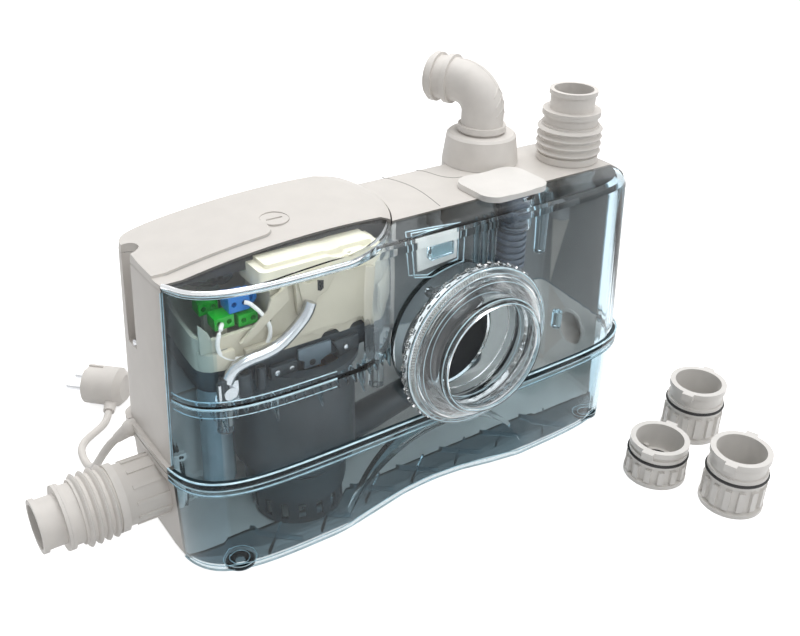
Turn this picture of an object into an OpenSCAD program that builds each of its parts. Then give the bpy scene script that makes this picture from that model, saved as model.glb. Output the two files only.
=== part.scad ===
// Sewage lifting station with toilet inlet, basin inlets and a swivelling discharge elbow.
// The front third of the casing is a clear moulding that shows the dry motor bay and the tank.
// Origin: centre of the base. X runs along the casing, Y to the rear, Z up.

/* [Casing] */
// Length of the casing at its seam
casing_l = 448; // [420:1:500]
// Depth of the casing from front wall to rear wall
casing_w = 138; // [130:1:160]
// Height of the casing top above the deck of the dry bay
bay_h = 96; // [88:1:110]
// Height of the seam between tank and cover
seam_z = 86; // [80:1:95]
// Thickness of the casing walls
wall_t = 3.5; // [2.5:0.1:4.5]
// Thickness of each seam flange
flange_t = 6; // [4:0.5:8]
// How far the seam flanges stand out from the wall
flange_out = 3.5; // [2:0.5:6]
// Depth position of the joint between clear front and opaque rear
cut_y = -22.5; // [-26:0.5:-18]
// How much the cover narrows from seam to top on each side
cover_draft = 6; // [2:0.5:8]
// How much the tank narrows from seam to base on each side
tank_draft = 2; // [0:0.5:5]
// Rounding of the cover's top edge
top_round = 9; // [4:0.5:12]
// Rounding of the tank's bottom edge
base_round = 5; // [3:0.5:8]
// Width of the arch in the front wall that clears the foot of the toilet
arch_w = 196; // [160:1:220]
// Depth of that arch
arch_d = 16; // [8:1:22]
// Height of that arch above the base
arch_h = 72; // [50:1:75]

/* [Lid] */
// Radius of the round end of the lid
lid_r = 100; // [90:1:106]
// Centre of the round end along the casing
lid_x = -110; // [-125:1:-100]
// Centre of the round end in depth
lid_y = 35; // [25:1:40]
// Depth of the lid's seat below the casing top
lid_seat = 7; // [5:1:10]
// Rise of the lid's crown above the casing top
lid_rise = 13; // [10:1:18]
// Radius of the crown
crown_r = 700; // [600:10:900]
// Slope of the crown towards the front, in degrees
crown_tilt = 4.9; // [3:0.1:5]
// How far the name plate stands proud of the crown
plate_up = 2; // [1:0.1:3]
// Wall thickness of the lid
lid_t = 3; // [2:0.1:4]
// Radius of the slotted lid screw
lid_screw_r = 11; // [8:0.5:13]

/* [Toilet inlet] */
// Place of the toilet inlet along the casing
wc_x = 18; // [8:1:28]
// Height of the toilet inlet
wc_z = 147; // [144:1:152]
// Radius of the sleeve's mouth ring
wc_mouth_r = 49; // [44:0.5:52]
// Radius of the sleeve's flange
wc_flange_r = 68.5; // [62:0.5:70]
// How far the mouth stands in front of the casing
wc_reach = 32.5; // [26:0.5:45]
// Outer radius of the drum that carries the sleeve
wc_drum_r = 59; // [56:0.5:60]
// Radius of the rubber flap behind the inlet
wc_flap_r = 45; // [40:0.5:46]
// How far the flap hangs below the axis of the inlet
wc_flap_drop = 12; // [8:1:13]

/* [Side and top inlets] */
// Height of the side inlets
side_z = 55.5; // [50:0.5:60]
// Depth position of the side inlets
side_y = 10; // [6:1:20]
// Outer radius of the inlet stubs
stub_r = 24.8; // [22:0.1:26]
// Wall thickness of the inlet stubs
stub_t = 3; // [2:0.1:4]
// Length of the left stub outside the wall
stub_l = 39; // [36:1:60]
// Place of the top inlet along the casing
top_x = 186; // [176:1:188]
// Depth position of the top inlet
top_y = 11; // [4:1:18]
// Distance between the bellows rings of a sleeve
bellow_pitch = 6.6; // [5.5:0.1:7.5]
// Number of bellows rings
bellow_n = 4; // [2:1:5]
// Radius of the bellows rings
bellow_r = 29; // [28:0.1:31]
// Outer radius of the sleeve's lip
lip_r = 21.2; // [19:0.1:23]
// Wall thickness of the rubber
rubber_t = 2.2; // [1.8:0.1:3]

/* [Discharge] */
// Place of the discharge along the casing
out_x = 115; // [108:1:122]
// Depth position of the discharge
out_y = 48; // [44:1:52]
// Outer radius of the discharge pipe
riser_r = 14.5; // [13:0.5:14.5]
// Radius of the foot of the conical cap
cap_r = 33.9; // [31:0.1:36]
// Height of the conical cap
cap_h = 26; // [22:1:32]
// Outer radius of the elbow
elbow_r = 18.6; // [17:0.1:20]
// Height of the elbow's arm above the casing top
elbow_up = 68; // [61:1:80]
// Reach of the arm from the swivel axis
elbow_reach = 51; // [46:1:70]
// Direction of the arm, turned from the X axis
elbow_turn = 116; // [90:1:140]

/* [Vent] */
// Centre of the vent cap along the casing
vent_x = 89; // [86:1:92]
// Centre of the vent cap in depth
vent_y = -14; // [-16:1:-12]
// Length of the vent cap
vent_l = 67; // [60:1:70]
// Width of the vent cap
vent_w = 52; // [48:1:54]
// Radius of the filter cartridge
filter_r = 13.5; // [10:0.5:15]
// Length of the filter cartridge
filter_l = 66; // [50:1:80]

/* [Motor and pump] */
// Place of the motor along the casing
motor_x = -110; // [-114:1:-106]
// Depth position of the motor
motor_y = -5; // [-7:0.5:-2]
// Radius of the motor housing
motor_r = 50; // [46:0.5:51]
// Height of the underside of the motor housing
motor_z = 52; // [50:1:58]
// Height of the deck that carries the motor
deck_z = 149; // [145:1:153]
// Thickness of the deck
deck_t = 4; // [3:0.5:6]
// Height of the stator's core
stator_h = 42; // [36:1:50]
// Radius of the motor shaft
shaft_r = 6; // [5:0.5:7]
// Radius of the impeller
impeller_r = 31; // [26:0.5:33]
// Outer radius of the pump volute
volute_r = 42; // [39:0.5:46]
// Height of the pump volute
volute_h = 22; // [20:1:26]
// Radius of the suction basket
basket_r = 38; // [34:0.5:40]
// Radius of the cutter
cutter_r = 27; // [20:0.5:30]

/* [Electrics] */
// Length of the electronics tray
tray_l = 184; // [170:1:188]
// Depth of the electronics tray
tray_w = 84; // [76:1:88]
// Height of the tray above the motor's flange
tray_up = 21; // [18:1:25]
// Length of the capacitor box
box_l = 100; // [80:1:106]
// Depth of the capacitor box
box_w = 40; // [34:1:40]
// Height of the capacitor box
box_h = 15; // [12:1:16]
// Diameter of the power cord
cord_d = 7; // [6:0.5:8]
// Radius of the plug
plug_r = 19; // [18:0.5:20]

/* [Loose valve connectors] */
// Radius of the foot of a connector
valve_r = 27.4; // [25:0.1:29]
// Height of the long connectors
valve_h = 54; // [48:1:60]
// Height of the short connector
valve_short_h = 37; // [34:1:44]

/* [Hidden] */
$fn = 64;
eps = 0.01;
big = 700;
// Play between pieces that come apart
play = 0.3;
// Running play of pins and shafts
run = 0.04;
gasket_t = 1.5;
outline_n = 72;
end_power = 8;
front_power = 3;
rear_power = 16;
shell_colour = [0.91, 0.88, 0.84];
clear_colour = [0.62, 0.75, 0.82, 0.45];
rubber_colour = [0.80, 0.78, 0.74];
black = [0.06, 0.06, 0.06];
motor_colour = [0.18, 0.21, 0.24];
beige = [0.80, 0.77, 0.66];
steel = [0.75, 0.76, 0.78];
copper = [0.72, 0.43, 0.22];
casing_h = deck_z + bay_h;
lid_z = casing_h - lid_seat;
lid_top = casing_h + lid_rise;
elbow_z = casing_h + elbow_up;
front_y = -casing_w / 2;
rear_y = casing_w / 2;
// Outline of the casing seen from above, drawn in by an inset
function side(v) = v < 0 ? -1 : 1;
function plan(inset) = [for (i = [0:outline_n - 1]) let (t = (i + 0.5) * 360 / outline_n)
  [(casing_l / 2 - inset) * side(cos(t))
     * pow(abs(cos(t)), 2 / (sin(t) < 0 ? end_power : rear_power)),
   (casing_w / 2 - inset) * side(sin(t))
     * pow(abs(sin(t)), 2 / (sin(t) < 0 ? front_power : rear_power))]];
// Inset of the cover wall at a height
function cover_inset(z) = cover_draft * (z - seam_z) / (casing_h - top_round - seam_z);
tank_out = [[0, tank_draft + base_round], [base_round * 0.3, tank_draft + base_round * 0.3],
  [base_round, tank_draft], [seam_z - gasket_t / 2 - eps, 0]];
tank_in = [[wall_t, tank_draft + wall_t + base_round * 0.6],
  [wall_t + base_round * 0.6, tank_draft + wall_t], [seam_z + 1, wall_t]];
cover_out = [[seam_z + gasket_t / 2, 0], [casing_h - top_round, cover_draft],
  [casing_h - top_round * 0.3, cover_draft + top_round * 0.3],
  [casing_h - eps, cover_draft + top_round]];
cover_in = [[seam_z - 1, wall_t], [casing_h - top_round, cover_draft + wall_t],
  [casing_h - wall_t, cover_draft + wall_t + top_round * 0.6]];
// The arch in the front wall is the meeting of an upright drum and a lying drum
arch_x = -3;
arch_drum_r = (pow(arch_w / 2, 2) + arch_d * arch_d) / (2 * arch_d);
arch_top_r = (pow(arch_w / 2, 2) + arch_h * arch_h) / (2 * arch_h);
lid_base_inset = cover_inset(lid_z);
lid_screw_x = lid_x - 2;
lid_screw_y = 10;
drum_out = 10.5;
drum_depth = 27;
web_t = 3;
web_y = front_y + drum_depth - web_t;
flap_z = wc_z - wc_flap_drop;
wc_pin_z = flap_z + wc_flap_r + 3.4;
wc_pin_y = web_y + web_t + play + 2.4;
left_x = -casing_l / 2 + tank_draft;
right_x = -left_x;
sleeve_l = 63;
collar_l = 6;
stub_grip = collar_l - 1;
sleeve_start = stub_l - stub_grip;
motor_top = deck_z + deck_t;
bulge_z = deck_z - 9;
filter_x = 91;
filter_y = -27;
bay_left = -casing_l / 2 + 24;
bay_right = lid_x + lid_r - 12;
tray_z = motor_top + tray_up;
tray_left = bay_left - 1;
tray_x = tray_left + tray_l / 2;
tray_wall = 3;
tray_rim = tray_z + 26;
box_z = casing_h - 20;
box_x = tray_x + 8;
box_y = -23;
box_round = 6;
stator_z = motor_z + 24;
chamber_x = tray_left + 44;
chamber_y = 46;
chamber_r = 15;
switch_x = tray_left + 33;
switch_y = 12;
right_stub_r = stub_r - 6;
right_stub_l = 20;
hose_r = 3;
handle_r = 4.5;
spigot_x = left_x + 12;
flap_t = 2.5;
left_pin_z = side_z + stub_r + 3;
left_pin_x = spigot_x + play + flap_t / 2;
bearing_r = 13;
rotor_r = 28;
basket_z = wall_t + 2.5;
volute_z = motor_z - play - volute_h;
impeller_z = volute_z + 6;
cutter_z = basket_z + 9;
// Line of the lid's crown: it falls towards the front and to both ends
crown_x = -casing_l / 2 + 144;
crown_y = 48;
function crown_z(x, y) = lid_top - (crown_y - y) * tan(crown_tilt)
  - (crown_r - sqrt(crown_r * crown_r - (x - crown_x) * (x - crown_x)));
screw_top_z = crown_z(lid_screw_x, lid_screw_y);
screw_boss_z = screw_top_z - 8;
screw_head_z = screw_top_z - 4;
seat_z = casing_h - 8;
flap_pin_z = seat_z + play + 1.6;
plate_end = lid_x - 12;
plate_y = [-10, 33];
plate_r = 9;
channel = [-casing_l / 2 + cover_draft + 1.5, 37, deck_z + 17];
channel_r = 9;
screw_r = 3.8;
valve_flap_r = 15;
terminal_places = [[tray_left + 23, -30, tray_z + 28], [tray_left + 41, -31, tray_z + 26],
  [tray_left + 19, -13, tray_z + 32]];
blue_place = [tray_left + 35.7, -28, tray_z + 37.3];
deck_bosses = [[tray_left + 15, -42], [lid_x + 50, -50], [tray_left - 3, 34], [lid_x + 76, 36]];
valve_places = [[255.6, -124.8, 0], [176.9, -151.6, 1], [203.6, -214.9, 0]];
plug_at = [-194, 218, plug_r + 0.2];
plug_turn = 135;
gland_mouth = [-casing_l / 2 - flange_out - 0.5, 48, seam_z];
foot_in = 38;
foot_r = 11;
foot_t = 2;
// Lifting handle, from its end at the tray down to its lug
handle_x = tray_left + 16;
handle_route = [for (p = [[67, -52, 40], [61, -53, 30], [43, -54, 16], [29, -54, 11], [15, -53, 9],
  [5, -51, 4], [0, -50, -5]]) [handle_x + p[0], p[1], tray_z + p[2]]];
wire_route = [for (p = [[21, -36, 32], [17, -42, 32], [13, -44.5, 24], [15, -45, 14],
  [25, -45, 7.5], [41, -45, 7], [51, -45, 13], [53.5, -45, 24], [49, -43.5, 35], [43, -38, 42.3],
  [39.7, -35.2, 43.3]]) [tray_left + p[0], p[1], tray_z + p[2]]];
hose_route = [[chamber_x, chamber_y, deck_z], [chamber_x, chamber_y, tray_z + 16],
  [chamber_x, chamber_y, tray_z + 32], [chamber_x - 2, 45, tray_z + 42],
  [chamber_x - 7, 41, tray_z + 47.5], [switch_x, switch_y + 24.5, tray_z + 50],
  [switch_x, switch_y + 19.3, tray_z + 50]];
// Route of the power cord: out of its boot, down to the floor and round to the plug
cord_route = [[-236, 60, 72], [-240, 68, 62], [-243, 77, 50], [-245, 87, 37], [-246, 98, 24],
  [-246, 110, 13], [-246, 122, 6], [-246, 134, 3.7], [-245, 145, 3.7], [-242, 155, 3.7],
  [-236, 163, 3.7], [-228, 169, 3.7], [-220, 174, 3.7], [-212, 180, 4], [-207, 186, 5],
  [-203, 192, 7]];

// Shared shapes
module slabs(levels) {
  hull()
    for (l = levels)
      translate([0, 0, l[0]])
        linear_extrude(eps)
          polygon(plan(l[1]));
}

module rear_half() {
  intersection() {
    children();
    translate([-big, cut_y, -big])
      cube(2 * big);
  }
}

module front_half() {
  intersection() {
    children();
    translate([-big, cut_y - 2 * big, -big])
      cube(2 * big);
  }
}

module ring(r_out, r_in, h) {
  difference() {
    cylinder(r = r_out, h = h);
    translate([0, 0, -1])
      cylinder(r = r_in, h = h + 2);
  }
}

// A round tube of n sides swept along a list of points; its rings are turned from the up direction
function unit(v) = v / norm(v);
function heading(p, i) = unit(p[min(i + 1, len(p) - 1)] - p[max(i - 1, 0)]);
function tube_ring(p, i, r, n, up) = let (t = heading(p, i), s = unit(cross(t, up)), u = cross(s, t))
  [for (k = [0:n - 1]) p[i] + r * (cos(k * 360 / n) * s + sin(k * 360 / n) * u)];

module tube(p, r, n, up) {
  m = len(p);
  polyhedron(
    points = [for (i = [0:m - 1]) each tube_ring(p, i, r, n, up)],
    faces = concat(
      [[for (k = [0:n - 1]) n - 1 - k]],
      [for (i = [0:m - 2], k = [0:n - 1])
        [(i + 1) * n + (k + 1) % n, (i + 1) * n + k, i * n + k]],
      [for (i = [0:m - 2], k = [0:n - 1])
        [i * n + (k + 1) % n, (i + 1) * n + (k + 1) % n, i * n + k]],
      [[for (k = [0:n - 1]) (m - 1) * n + k]]));
}

// The same points with k smooth steps between each pair
function smooth(p, k) = concat([for (i = [0:len(p) - 2], j = [0:k - 1])
  let (a = p[max(i - 1, 0)], b = p[i], c = p[i + 1], d = p[min(i + 2, len(p) - 1)], t = j / k)
  b + t * (c - a) / 2 + t * t * (a - 2.5 * b + 2 * c - d / 2)
    + t * t * t * (1.5 * (b - c) + (d - a) / 2)], [p[len(p) - 1]]);

module round_plate(size, r) {
  translate([-size[0] / 2 + r, -size[1] / 2, 0])
    cube([size[0] - 2 * r, size[1], size[2]]);
  translate([-size[0] / 2, -size[1] / 2 + r, 0])
    cube([size[0], size[1] - 2 * r, size[2]]);
  for (x = [-1, 1], y = [-1, 1])
    translate([x * (size[0] / 2 - r), y * (size[1] / 2 - r), 0])
      cylinder(r = r, h = size[2]);
}

// A rubber sleeve: collar, bellows, shoulder ring, neck and lip, from the collar upwards
module sleeve() {
  b0 = collar_l + bellow_pitch / 2;
  b1 = b0 + bellow_pitch * (bellow_n - 1);
  shoulder = b1 + 14;
  valley = bellow_r - 3.4;
  inner = stub_r + play;
  difference() {
    union() {
      cylinder(r = inner + rubber_t, h = collar_l);
      cylinder(r = valley, h = b1 + 4);
      for (i = [0:bellow_n - 1])
        translate([0, 0, b0 + i * bellow_pitch])
          rotate_extrude()
            polygon([[valley - 1, -2.6], [bellow_r - 0.8, -1.1], [bellow_r, 0],
              [bellow_r - 0.8, 1.1], [valley - 1, 2.6]]);
      cylinder(r = valley - 2, h = shoulder);
      translate([0, 0, shoulder - 2.5])
        ring(lip_r + 4.6, lip_r - 6, 2.4);
      translate([0, 0, shoulder])
        ring(lip_r + 4.6, lip_r - 6, 2.4);
      cylinder(r = lip_r - 1.6, h = sleeve_l - 1);
      translate([0, 0, sleeve_l - 4])
        cylinder(r = lip_r, h = 4);
    }
    translate([0, 0, -1])
      cylinder(r = inner, h = collar_l + 2);
    translate([0, 0, collar_l])
      cylinder(r = valley - rubber_t, h = b1 - collar_l + 2.5);
    translate([0, 0, b1])
      cylinder(r = valley - 2 - rubber_t, h = shoulder - b1 - 1);
    translate([0, 0, b1])
      cylinder(r = lip_r - 1.6 - rubber_t, h = sleeve_l);
  }
}

// The cord's way out through the seam: the gland's seat and its slanting boot
module cord_way(grow) {
  d = cord_route[0] - gland_mouth;
  translate([gland_mouth[0], gland_mouth[1], gland_mouth[2]])
    rotate([0, 90, 0])
      cylinder(r = cord_d + grow, h = 16);
  translate(gland_mouth)
    sphere(r = cord_d + grow);
  translate(gland_mouth)
    rotate([0, acos(d[2] / norm(d)), atan2(d[1], d[0])])
      cylinder(r1 = cord_d - 0.7 + grow, r2 = cord_d * 0.6 + grow, h = norm(d));
}

// Tank
module scoop(grow) {
  intersection() {
    translate([arch_x, front_y + arch_d - arch_drum_r, -1])
      cylinder(r = arch_drum_r + grow, h = seam_z, $fn = 180);
    translate([arch_x, front_y - 20, arch_h - arch_top_r])
      rotate([-90, 0, 0])
        cylinder(r = arch_top_r + grow, h = 20 + arch_d + wall_t + 2, $fn = 120);
  }
}

module tank_body() {
  flange_bottom = seam_z - flange_t;
  difference() {
    union() {
      difference() {
        slabs(tank_out);
        difference() {
          slabs(tank_in);
          scoop(wall_t);
        }
        scoop(0);
      }
      translate([0, 0, flange_bottom])
        linear_extrude(flange_t - gasket_t / 2)
          difference() {
            polygon(plan(-flange_out));
            polygon(plan(wall_t));
          }
      translate([left_x - stub_l, side_y, side_z])
        rotate([0, 90, 0])
          cylinder(r = stub_r, h = stub_l + 3);
      for (a = [15:30:345])
        translate([left_x - stub_l + 12, side_y, side_z])
          rotate([a, 0, 0])
            translate([0, -1.5, stub_r - 1])
              cube([stub_l - 9, 3, 2]);
      translate([right_x - 3, side_y, side_z])
        rotate([0, 90, 0])
          cylinder(r = right_stub_r, h = right_stub_l);
      for (x = [-1, 1], y = [-1, 1])
        translate([x * (casing_l / 2 - foot_in), y * (casing_w / 2 - foot_in / 2), foot_t])
          cylinder(r = foot_r + 2, h = wall_t);
      translate([left_x + 2, side_y, side_z])
        rotate([0, 90, 0])
          cylinder(r = stub_r, h = spigot_x - left_x - 2);
      for (y = [-14, 14]) {
        translate([spigot_x - 6, side_y + y - 2, side_z + 15])
          cube([6, 4, left_pin_z + 3 - side_z - 15]);
        translate([spigot_x - 1, side_y + y - 2, left_pin_z - 3])
          cube([7, 4, 6]);
      }
    }
    translate([left_x - stub_l - 1, side_y, side_z])
      rotate([0, 90, 0])
        cylinder(r = stub_r - stub_t, h = stub_l + 20);
    translate([left_pin_x, side_y - 20, left_pin_z])
      rotate([-90, 0, 0])
        cylinder(r = 1.5 + run, h = 40, $fn = 24);
    for (x = [-1, 1], y = [-1, 1])
      translate([x * (casing_l / 2 - foot_in), y * (casing_w / 2 - foot_in / 2), -1])
        ring(foot_r, 4, foot_t + 1);
    translate([right_x - 12, side_y, side_z])
      rotate([0, 90, 0])
        cylinder(r = right_stub_r - stub_t, h = right_stub_l + 20);
    cord_way(play);
  }
}

module tank_rear() {
  color(shell_colour)
    rear_half()
      tank_body();
}

module tank_front() {
  color(clear_colour)
    front_half()
      tank_body();
}

module seam_gasket() {
  color(black)
    translate([0, 0, seam_z - gasket_t / 2])
      difference() {
        linear_extrude(gasket_t)
          difference() {
            polygon(plan(-flange_out + 1));
            polygon(plan(wall_t));
          }
        translate([0, 0, gasket_t / 2 - seam_z])
          cord_way(play);
      }
}

module casing_feet() {
  color(black)
    for (x = [-1, 1], y = [-1, 1])
      translate([x * (casing_l / 2 - foot_in), y * (casing_w / 2 - foot_in / 2), 0])
        ring(foot_r, 4, foot_t);
}

// Cover
module lid_outline(inset) {
  intersection() {
    polygon(plan(inset));
    union() {
      translate([lid_x, lid_y])
        circle(r = lid_r - inset + lid_base_inset, $fn = 120);
      translate([lid_x - big, -big])
        square([big, 2 * big]);
    }
  }
}

module bay_wall() {
  intersection() {
    translate([0, 0, deck_z])
      linear_extrude(casing_h - wall_t - deck_z)
        difference() {
          translate([lid_x, lid_y])
            circle(r = lid_r + play + 3, $fn = 120);
          translate([lid_x, lid_y])
            circle(r = lid_r + play, $fn = 120);
          translate([lid_x - big, -big])
            square([big, 2 * big]);
        }
    slabs(cover_out);
  }
}

module deck() {
  intersection() {
    translate([0, 0, deck_z])
      linear_extrude(deck_t)
        union() {
          translate([lid_x, lid_y])
            circle(r = lid_r + play + 3, $fn = 120);
          translate([lid_x - big, -big])
            square([big, 2 * big]);
        }
    slabs(cover_out);
  }
}

module end_channel(grow) {
  translate([channel[0], channel[1], channel[2] - grow])
    cylinder(r = channel_r + grow, h = casing_h, $fn = 48);
}

module vent_hole() {
  translate([filter_x, filter_y, casing_h - 31])
    cylinder(r = filter_r + 1.2, h = 40);
}

module cover_body() {
  difference() {
    union() {
      difference() {
        slabs(cover_out);
        slabs(cover_in);
      }
      translate([0, 0, seam_z + gasket_t / 2])
        linear_extrude(flange_t - gasket_t / 2)
          difference() {
            polygon(plan(-flange_out));
            polygon(plan(wall_t));
          }
      deck();
      bay_wall();
      intersection() {
        for (m = [0, 1])
          mirror([m, 0, 0])
            end_channel(wall_t);
        slabs(cover_out);
      }
      translate([out_x, out_y, bulge_z])
        cylinder(r = cap_r, h = casing_h - bulge_z);
      translate([top_x, top_y, casing_h - 14])
        cylinder(r = stub_r, h = 14 + stub_grip);
      translate([wc_x, front_y - drum_out, wc_z])
        rotate([-90, 0, 0])
          cylinder(r = wc_drum_r, h = drum_depth + drum_out);
      translate([filter_x, filter_y, casing_h - 30])
        cylinder(r = filter_r + 3.4, h = 28);
      for (b = deck_bosses)
        translate([b[0], b[1], deck_z - 26])
          cylinder(r = 6, h = 28);
    }
    for (m = [0, 1])
      mirror([m, 0, 0])
        end_channel(0);
    translate([0, 0, lid_z])
      linear_extrude(60)
        lid_outline(lid_base_inset - play);
    translate([motor_x, motor_y, deck_z - 1])
      cylinder(r = motor_r + play, h = deck_t + 2);
    translate([out_x, out_y, bulge_z + wall_t])
      cylinder(r = cap_r - wall_t, h = casing_h - bulge_z - 2 * wall_t);
    translate([out_x, out_y, bulge_z - 1])
      cylinder(r = riser_r + play, h = casing_h);
    translate([top_x, top_y, casing_h - 20])
      cylinder(r = stub_r - stub_t, h = 50);
    translate([wc_x, front_y - drum_out - 1, wc_z])
      rotate([-90, 0, 0])
        cylinder(r = wc_drum_r - 3, h = drum_out + 1 + drum_depth - web_t);
    translate([wc_x, front_y + 3, flap_z])
      rotate([-90, 0, 0])
        cylinder(r = wc_flap_r - 3, h = drum_depth + 5);
    vent_hole();
    for (b = deck_bosses)
      translate([b[0], b[1], deck_z - 27])
        cylinder(r = 2.1, h = 40);
    translate([chamber_x, chamber_y, deck_z - 1])
      cylinder(r = hose_r + play, h = deck_t + 2);
    cord_way(play);
  }
}

module flap_ears() {
  for (x = [-1, 1])
    difference() {
      translate([wc_x + x * 20 - 3, web_y + web_t - eps, wc_pin_z - 3])
        cube([6, wc_pin_y - web_y - web_t + 3, 6]);
      translate([wc_x + x * 20 - 4, wc_pin_y, wc_pin_z])
        rotate([0, 90, 0])
          cylinder(r = 1.5 + run, h = 8, $fn = 24);
    }
}

module cover_rear() {
  color(shell_colour)
    rear_half()
      cover_body();
}

module cover_front() {
  color(clear_colour) {
    front_half()
      cover_body();
    flap_ears();
  }
}

module casing_screws() {
  color(steel)
    for (m = [0, 1])
      mirror([m, 0, 0])
        translate(channel) {
          cylinder(r = screw_r, h = 3);
          translate([0, 0, 3])
            cylinder(r1 = screw_r, r2 = screw_r - 1.4, h = 1.2);
        }
}

// Toilet inlet
module wc_clamp_ring() {
  teeth = 40;
  ring_l = drum_out - flange_out - 1;
  color(clear_colour)
    translate([wc_x, front_y - drum_out, wc_z])
      rotate([-90, 0, 0])
        difference() {
          union() {
            cylinder(r = wc_flange_r + 0.5, h = ring_l);
            for (i = [0:teeth - 1])
              rotate([0, 0, i * 360 / teeth])
                translate([wc_flange_r - 2, -2, 1.5])
                  cube([4, 4, ring_l - 1.5]);
          }
          translate([0, 0, -1])
            cylinder(r = wc_drum_r + play, h = ring_l + 2);
        }
}

module wc_sleeve() {
  t = 2.2;
  spigot_r = wc_drum_r - 3 - play;
  bore_r = wc_mouth_r - 3.5;
  d = wc_reach - drum_out - play;
  color(clear_colour)
    translate([wc_x, front_y - drum_out - play, wc_z])
      rotate([90, 0, 0])
        rotate_extrude($fn = 96)
          polygon([[spigot_r - 3, -14], [spigot_r, -14], [spigot_r, 0], [wc_flange_r, 0],
            [wc_flange_r, 3], [wc_flange_r - 3.5, 3.6], [wc_flange_r - 7, 7],
            [wc_mouth_r + 6, d - 9], [wc_mouth_r + 1, d - 7], [wc_mouth_r - 0.6, d - 5],
            [wc_mouth_r - 0.6, d - 3.5], [wc_mouth_r, d - 2.6], [wc_mouth_r, d - 1],
            [wc_mouth_r - 1, d], [bore_r, d], [bore_r, -16], [bore_r + t, -16],
            [bore_r + t, d - 9], [wc_mouth_r + 5.3, d - 11.3], [wc_flange_r - 8.2, 5.2],
            [wc_flange_r - 7.6, 2.4], [spigot_r - 3, 2.4]]);
}

module wc_flap() {
  color(black) {
    translate([wc_x, web_y + web_t + play, flap_z])
      rotate([-90, 0, 0])
        cylinder(r = wc_flap_r, h = 3);
    translate([wc_x - 12, web_y + web_t + play, flap_z + wc_flap_r - 6])
      cube([24, 3, 8.5]);
    translate([wc_x - 16.6, wc_pin_y, wc_pin_z])
      rotate([0, 90, 0])
        cylinder(r = 2.4, h = 33.2, $fn = 32);
    translate([wc_x - 23, wc_pin_y, wc_pin_z])
      rotate([0, 90, 0])
        cylinder(r = 1.5, h = 46, $fn = 24);
  }
}

// Sleeves and side inlets
module left_sleeve() {
  color(rubber_colour)
    translate([left_x - sleeve_start, side_y, side_z])
      rotate([0, -90, 0])
        sleeve();
}

module top_sleeve() {
  color(rubber_colour)
    translate([top_x, top_y, casing_h + play])
      sleeve();
}

module right_cap() {
  r = right_stub_r + play;
  color(rubber_colour)
    translate([casing_l / 2 + play, side_y, side_z])
      rotate([0, 90, 0])
        difference() {
          union() {
            cylinder(r = r + 3.2, h = 5);
            cylinder(r = r + 2, h = 33);
            translate([0, 0, 33])
              cylinder(r1 = r + 2, r2 = r - 3, h = 5);
          }
          translate([0, 0, -1])
            cylinder(r = r, h = right_stub_l);
        }
}

module left_flap() {
  color(black) {
    translate([spigot_x + play, side_y, side_z])
      rotate([0, 90, 0])
        cylinder(r = stub_r - 0.6, h = flap_t);
    translate([spigot_x + play, side_y - 9, side_z + stub_r - 5])
      cube([flap_t, 18, 7.5]);
    translate([left_pin_x, side_y - 11, left_pin_z])
      rotate([-90, 0, 0])
        cylinder(r = 2.2, h = 22, $fn = 32);
    translate([left_pin_x, side_y - 16, left_pin_z])
      rotate([-90, 0, 0])
        cylinder(r = 1.5, h = 32, $fn = 24);
  }
}

// Motor
module motor_housing() {
  color(motor_colour)
    translate([motor_x, motor_y, 0]) {
      translate([0, 0, motor_z + 7])
        ring(bearing_r + 3.5, bearing_r, 10);
      difference() {
        union() {
          translate([0, 0, motor_z + 8])
            cylinder(r = motor_r, h = motor_top - motor_z - 8, $fn = 96);
          translate([0, 0, motor_z])
            cylinder(r1 = motor_r - 8, r2 = motor_r, h = 8, $fn = 96);
          translate([0, 0, motor_top])
            cylinder(r = motor_r + 6, h = 4, $fn = 96);
        }
        translate([0, 0, motor_z + 8])
          cylinder(r = motor_r - 3, h = 200, $fn = 96);
        translate([0, 0, motor_z - 1])
          cylinder(r = shaft_r + 1, h = 20);
        translate([0, 0, motor_z - 1])
          cylinder(r = bearing_r - 1, h = 7);
      }
    }
}

module bay_block(x0, x1, half_w, r, inset) {
  intersection() {
    union() {
      translate([x0 + r, -half_w])
        square([x1 - x0 - r, 2 * half_w]);
      translate([x0, -half_w + r])
        square([r + 1, 2 * (half_w - r)]);
      for (y = [-1, 1])
        translate([x0 + r, y * (half_w - r)])
          circle(r = r);
    }
    union() {
      translate([lid_x, lid_y])
        circle(r = lid_r - inset, $fn = 120);
      translate([lid_x - big, -big])
        square([big, 2 * big]);
    }
  }
}

module motor_cover() {
  z0 = motor_top + 4;
  color(motor_colour)
    difference() {
      union() {
        translate([0, 0, z0])
          linear_extrude(tray_z - z0)
            bay_block(bay_left, bay_right, tray_w / 2, 14, 4);
        translate([motor_x, motor_y, z0 - 20])
          cylinder(r = bearing_r + 4, h = 21);
      }
      translate([0, 0, z0 + 3])
        linear_extrude(tray_z - z0 - 6)
          bay_block(bay_left + 3, bay_right - 3, tray_w / 2 - 3, 12, 7);
      translate([motor_x, motor_y, z0 - 21])
        cylinder(r = bearing_r, h = 10);
      translate([motor_x, motor_y, z0 - 12])
        cylinder(r = shaft_r + 1, h = 12);
    }
}

module stator() {
  slots = 12;
  color(copper)
    translate([motor_x, motor_y, stator_z])
      difference() {
        union() {
          ring(motor_r - 3 - eps, rotor_r + 0.8, stator_h);
          translate([0, 0, -5])
            ring(motor_r - 8, rotor_r + 4, stator_h + 10);
        }
        for (i = [0:slots - 1])
          rotate([0, 0, i * 360 / slots])
            translate([motor_r - 5, 0, -6])
              cylinder(r = 2.4, h = stator_h + 12, $fn = 24);
      }
}

module motor_bearings() {
  z0 = motor_top + 4;
  color(steel)
    for (z = [motor_z + 8, z0 - 20])
      translate([motor_x, motor_y, z])
        ring(bearing_r, shaft_r + run, 8);
}

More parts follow.
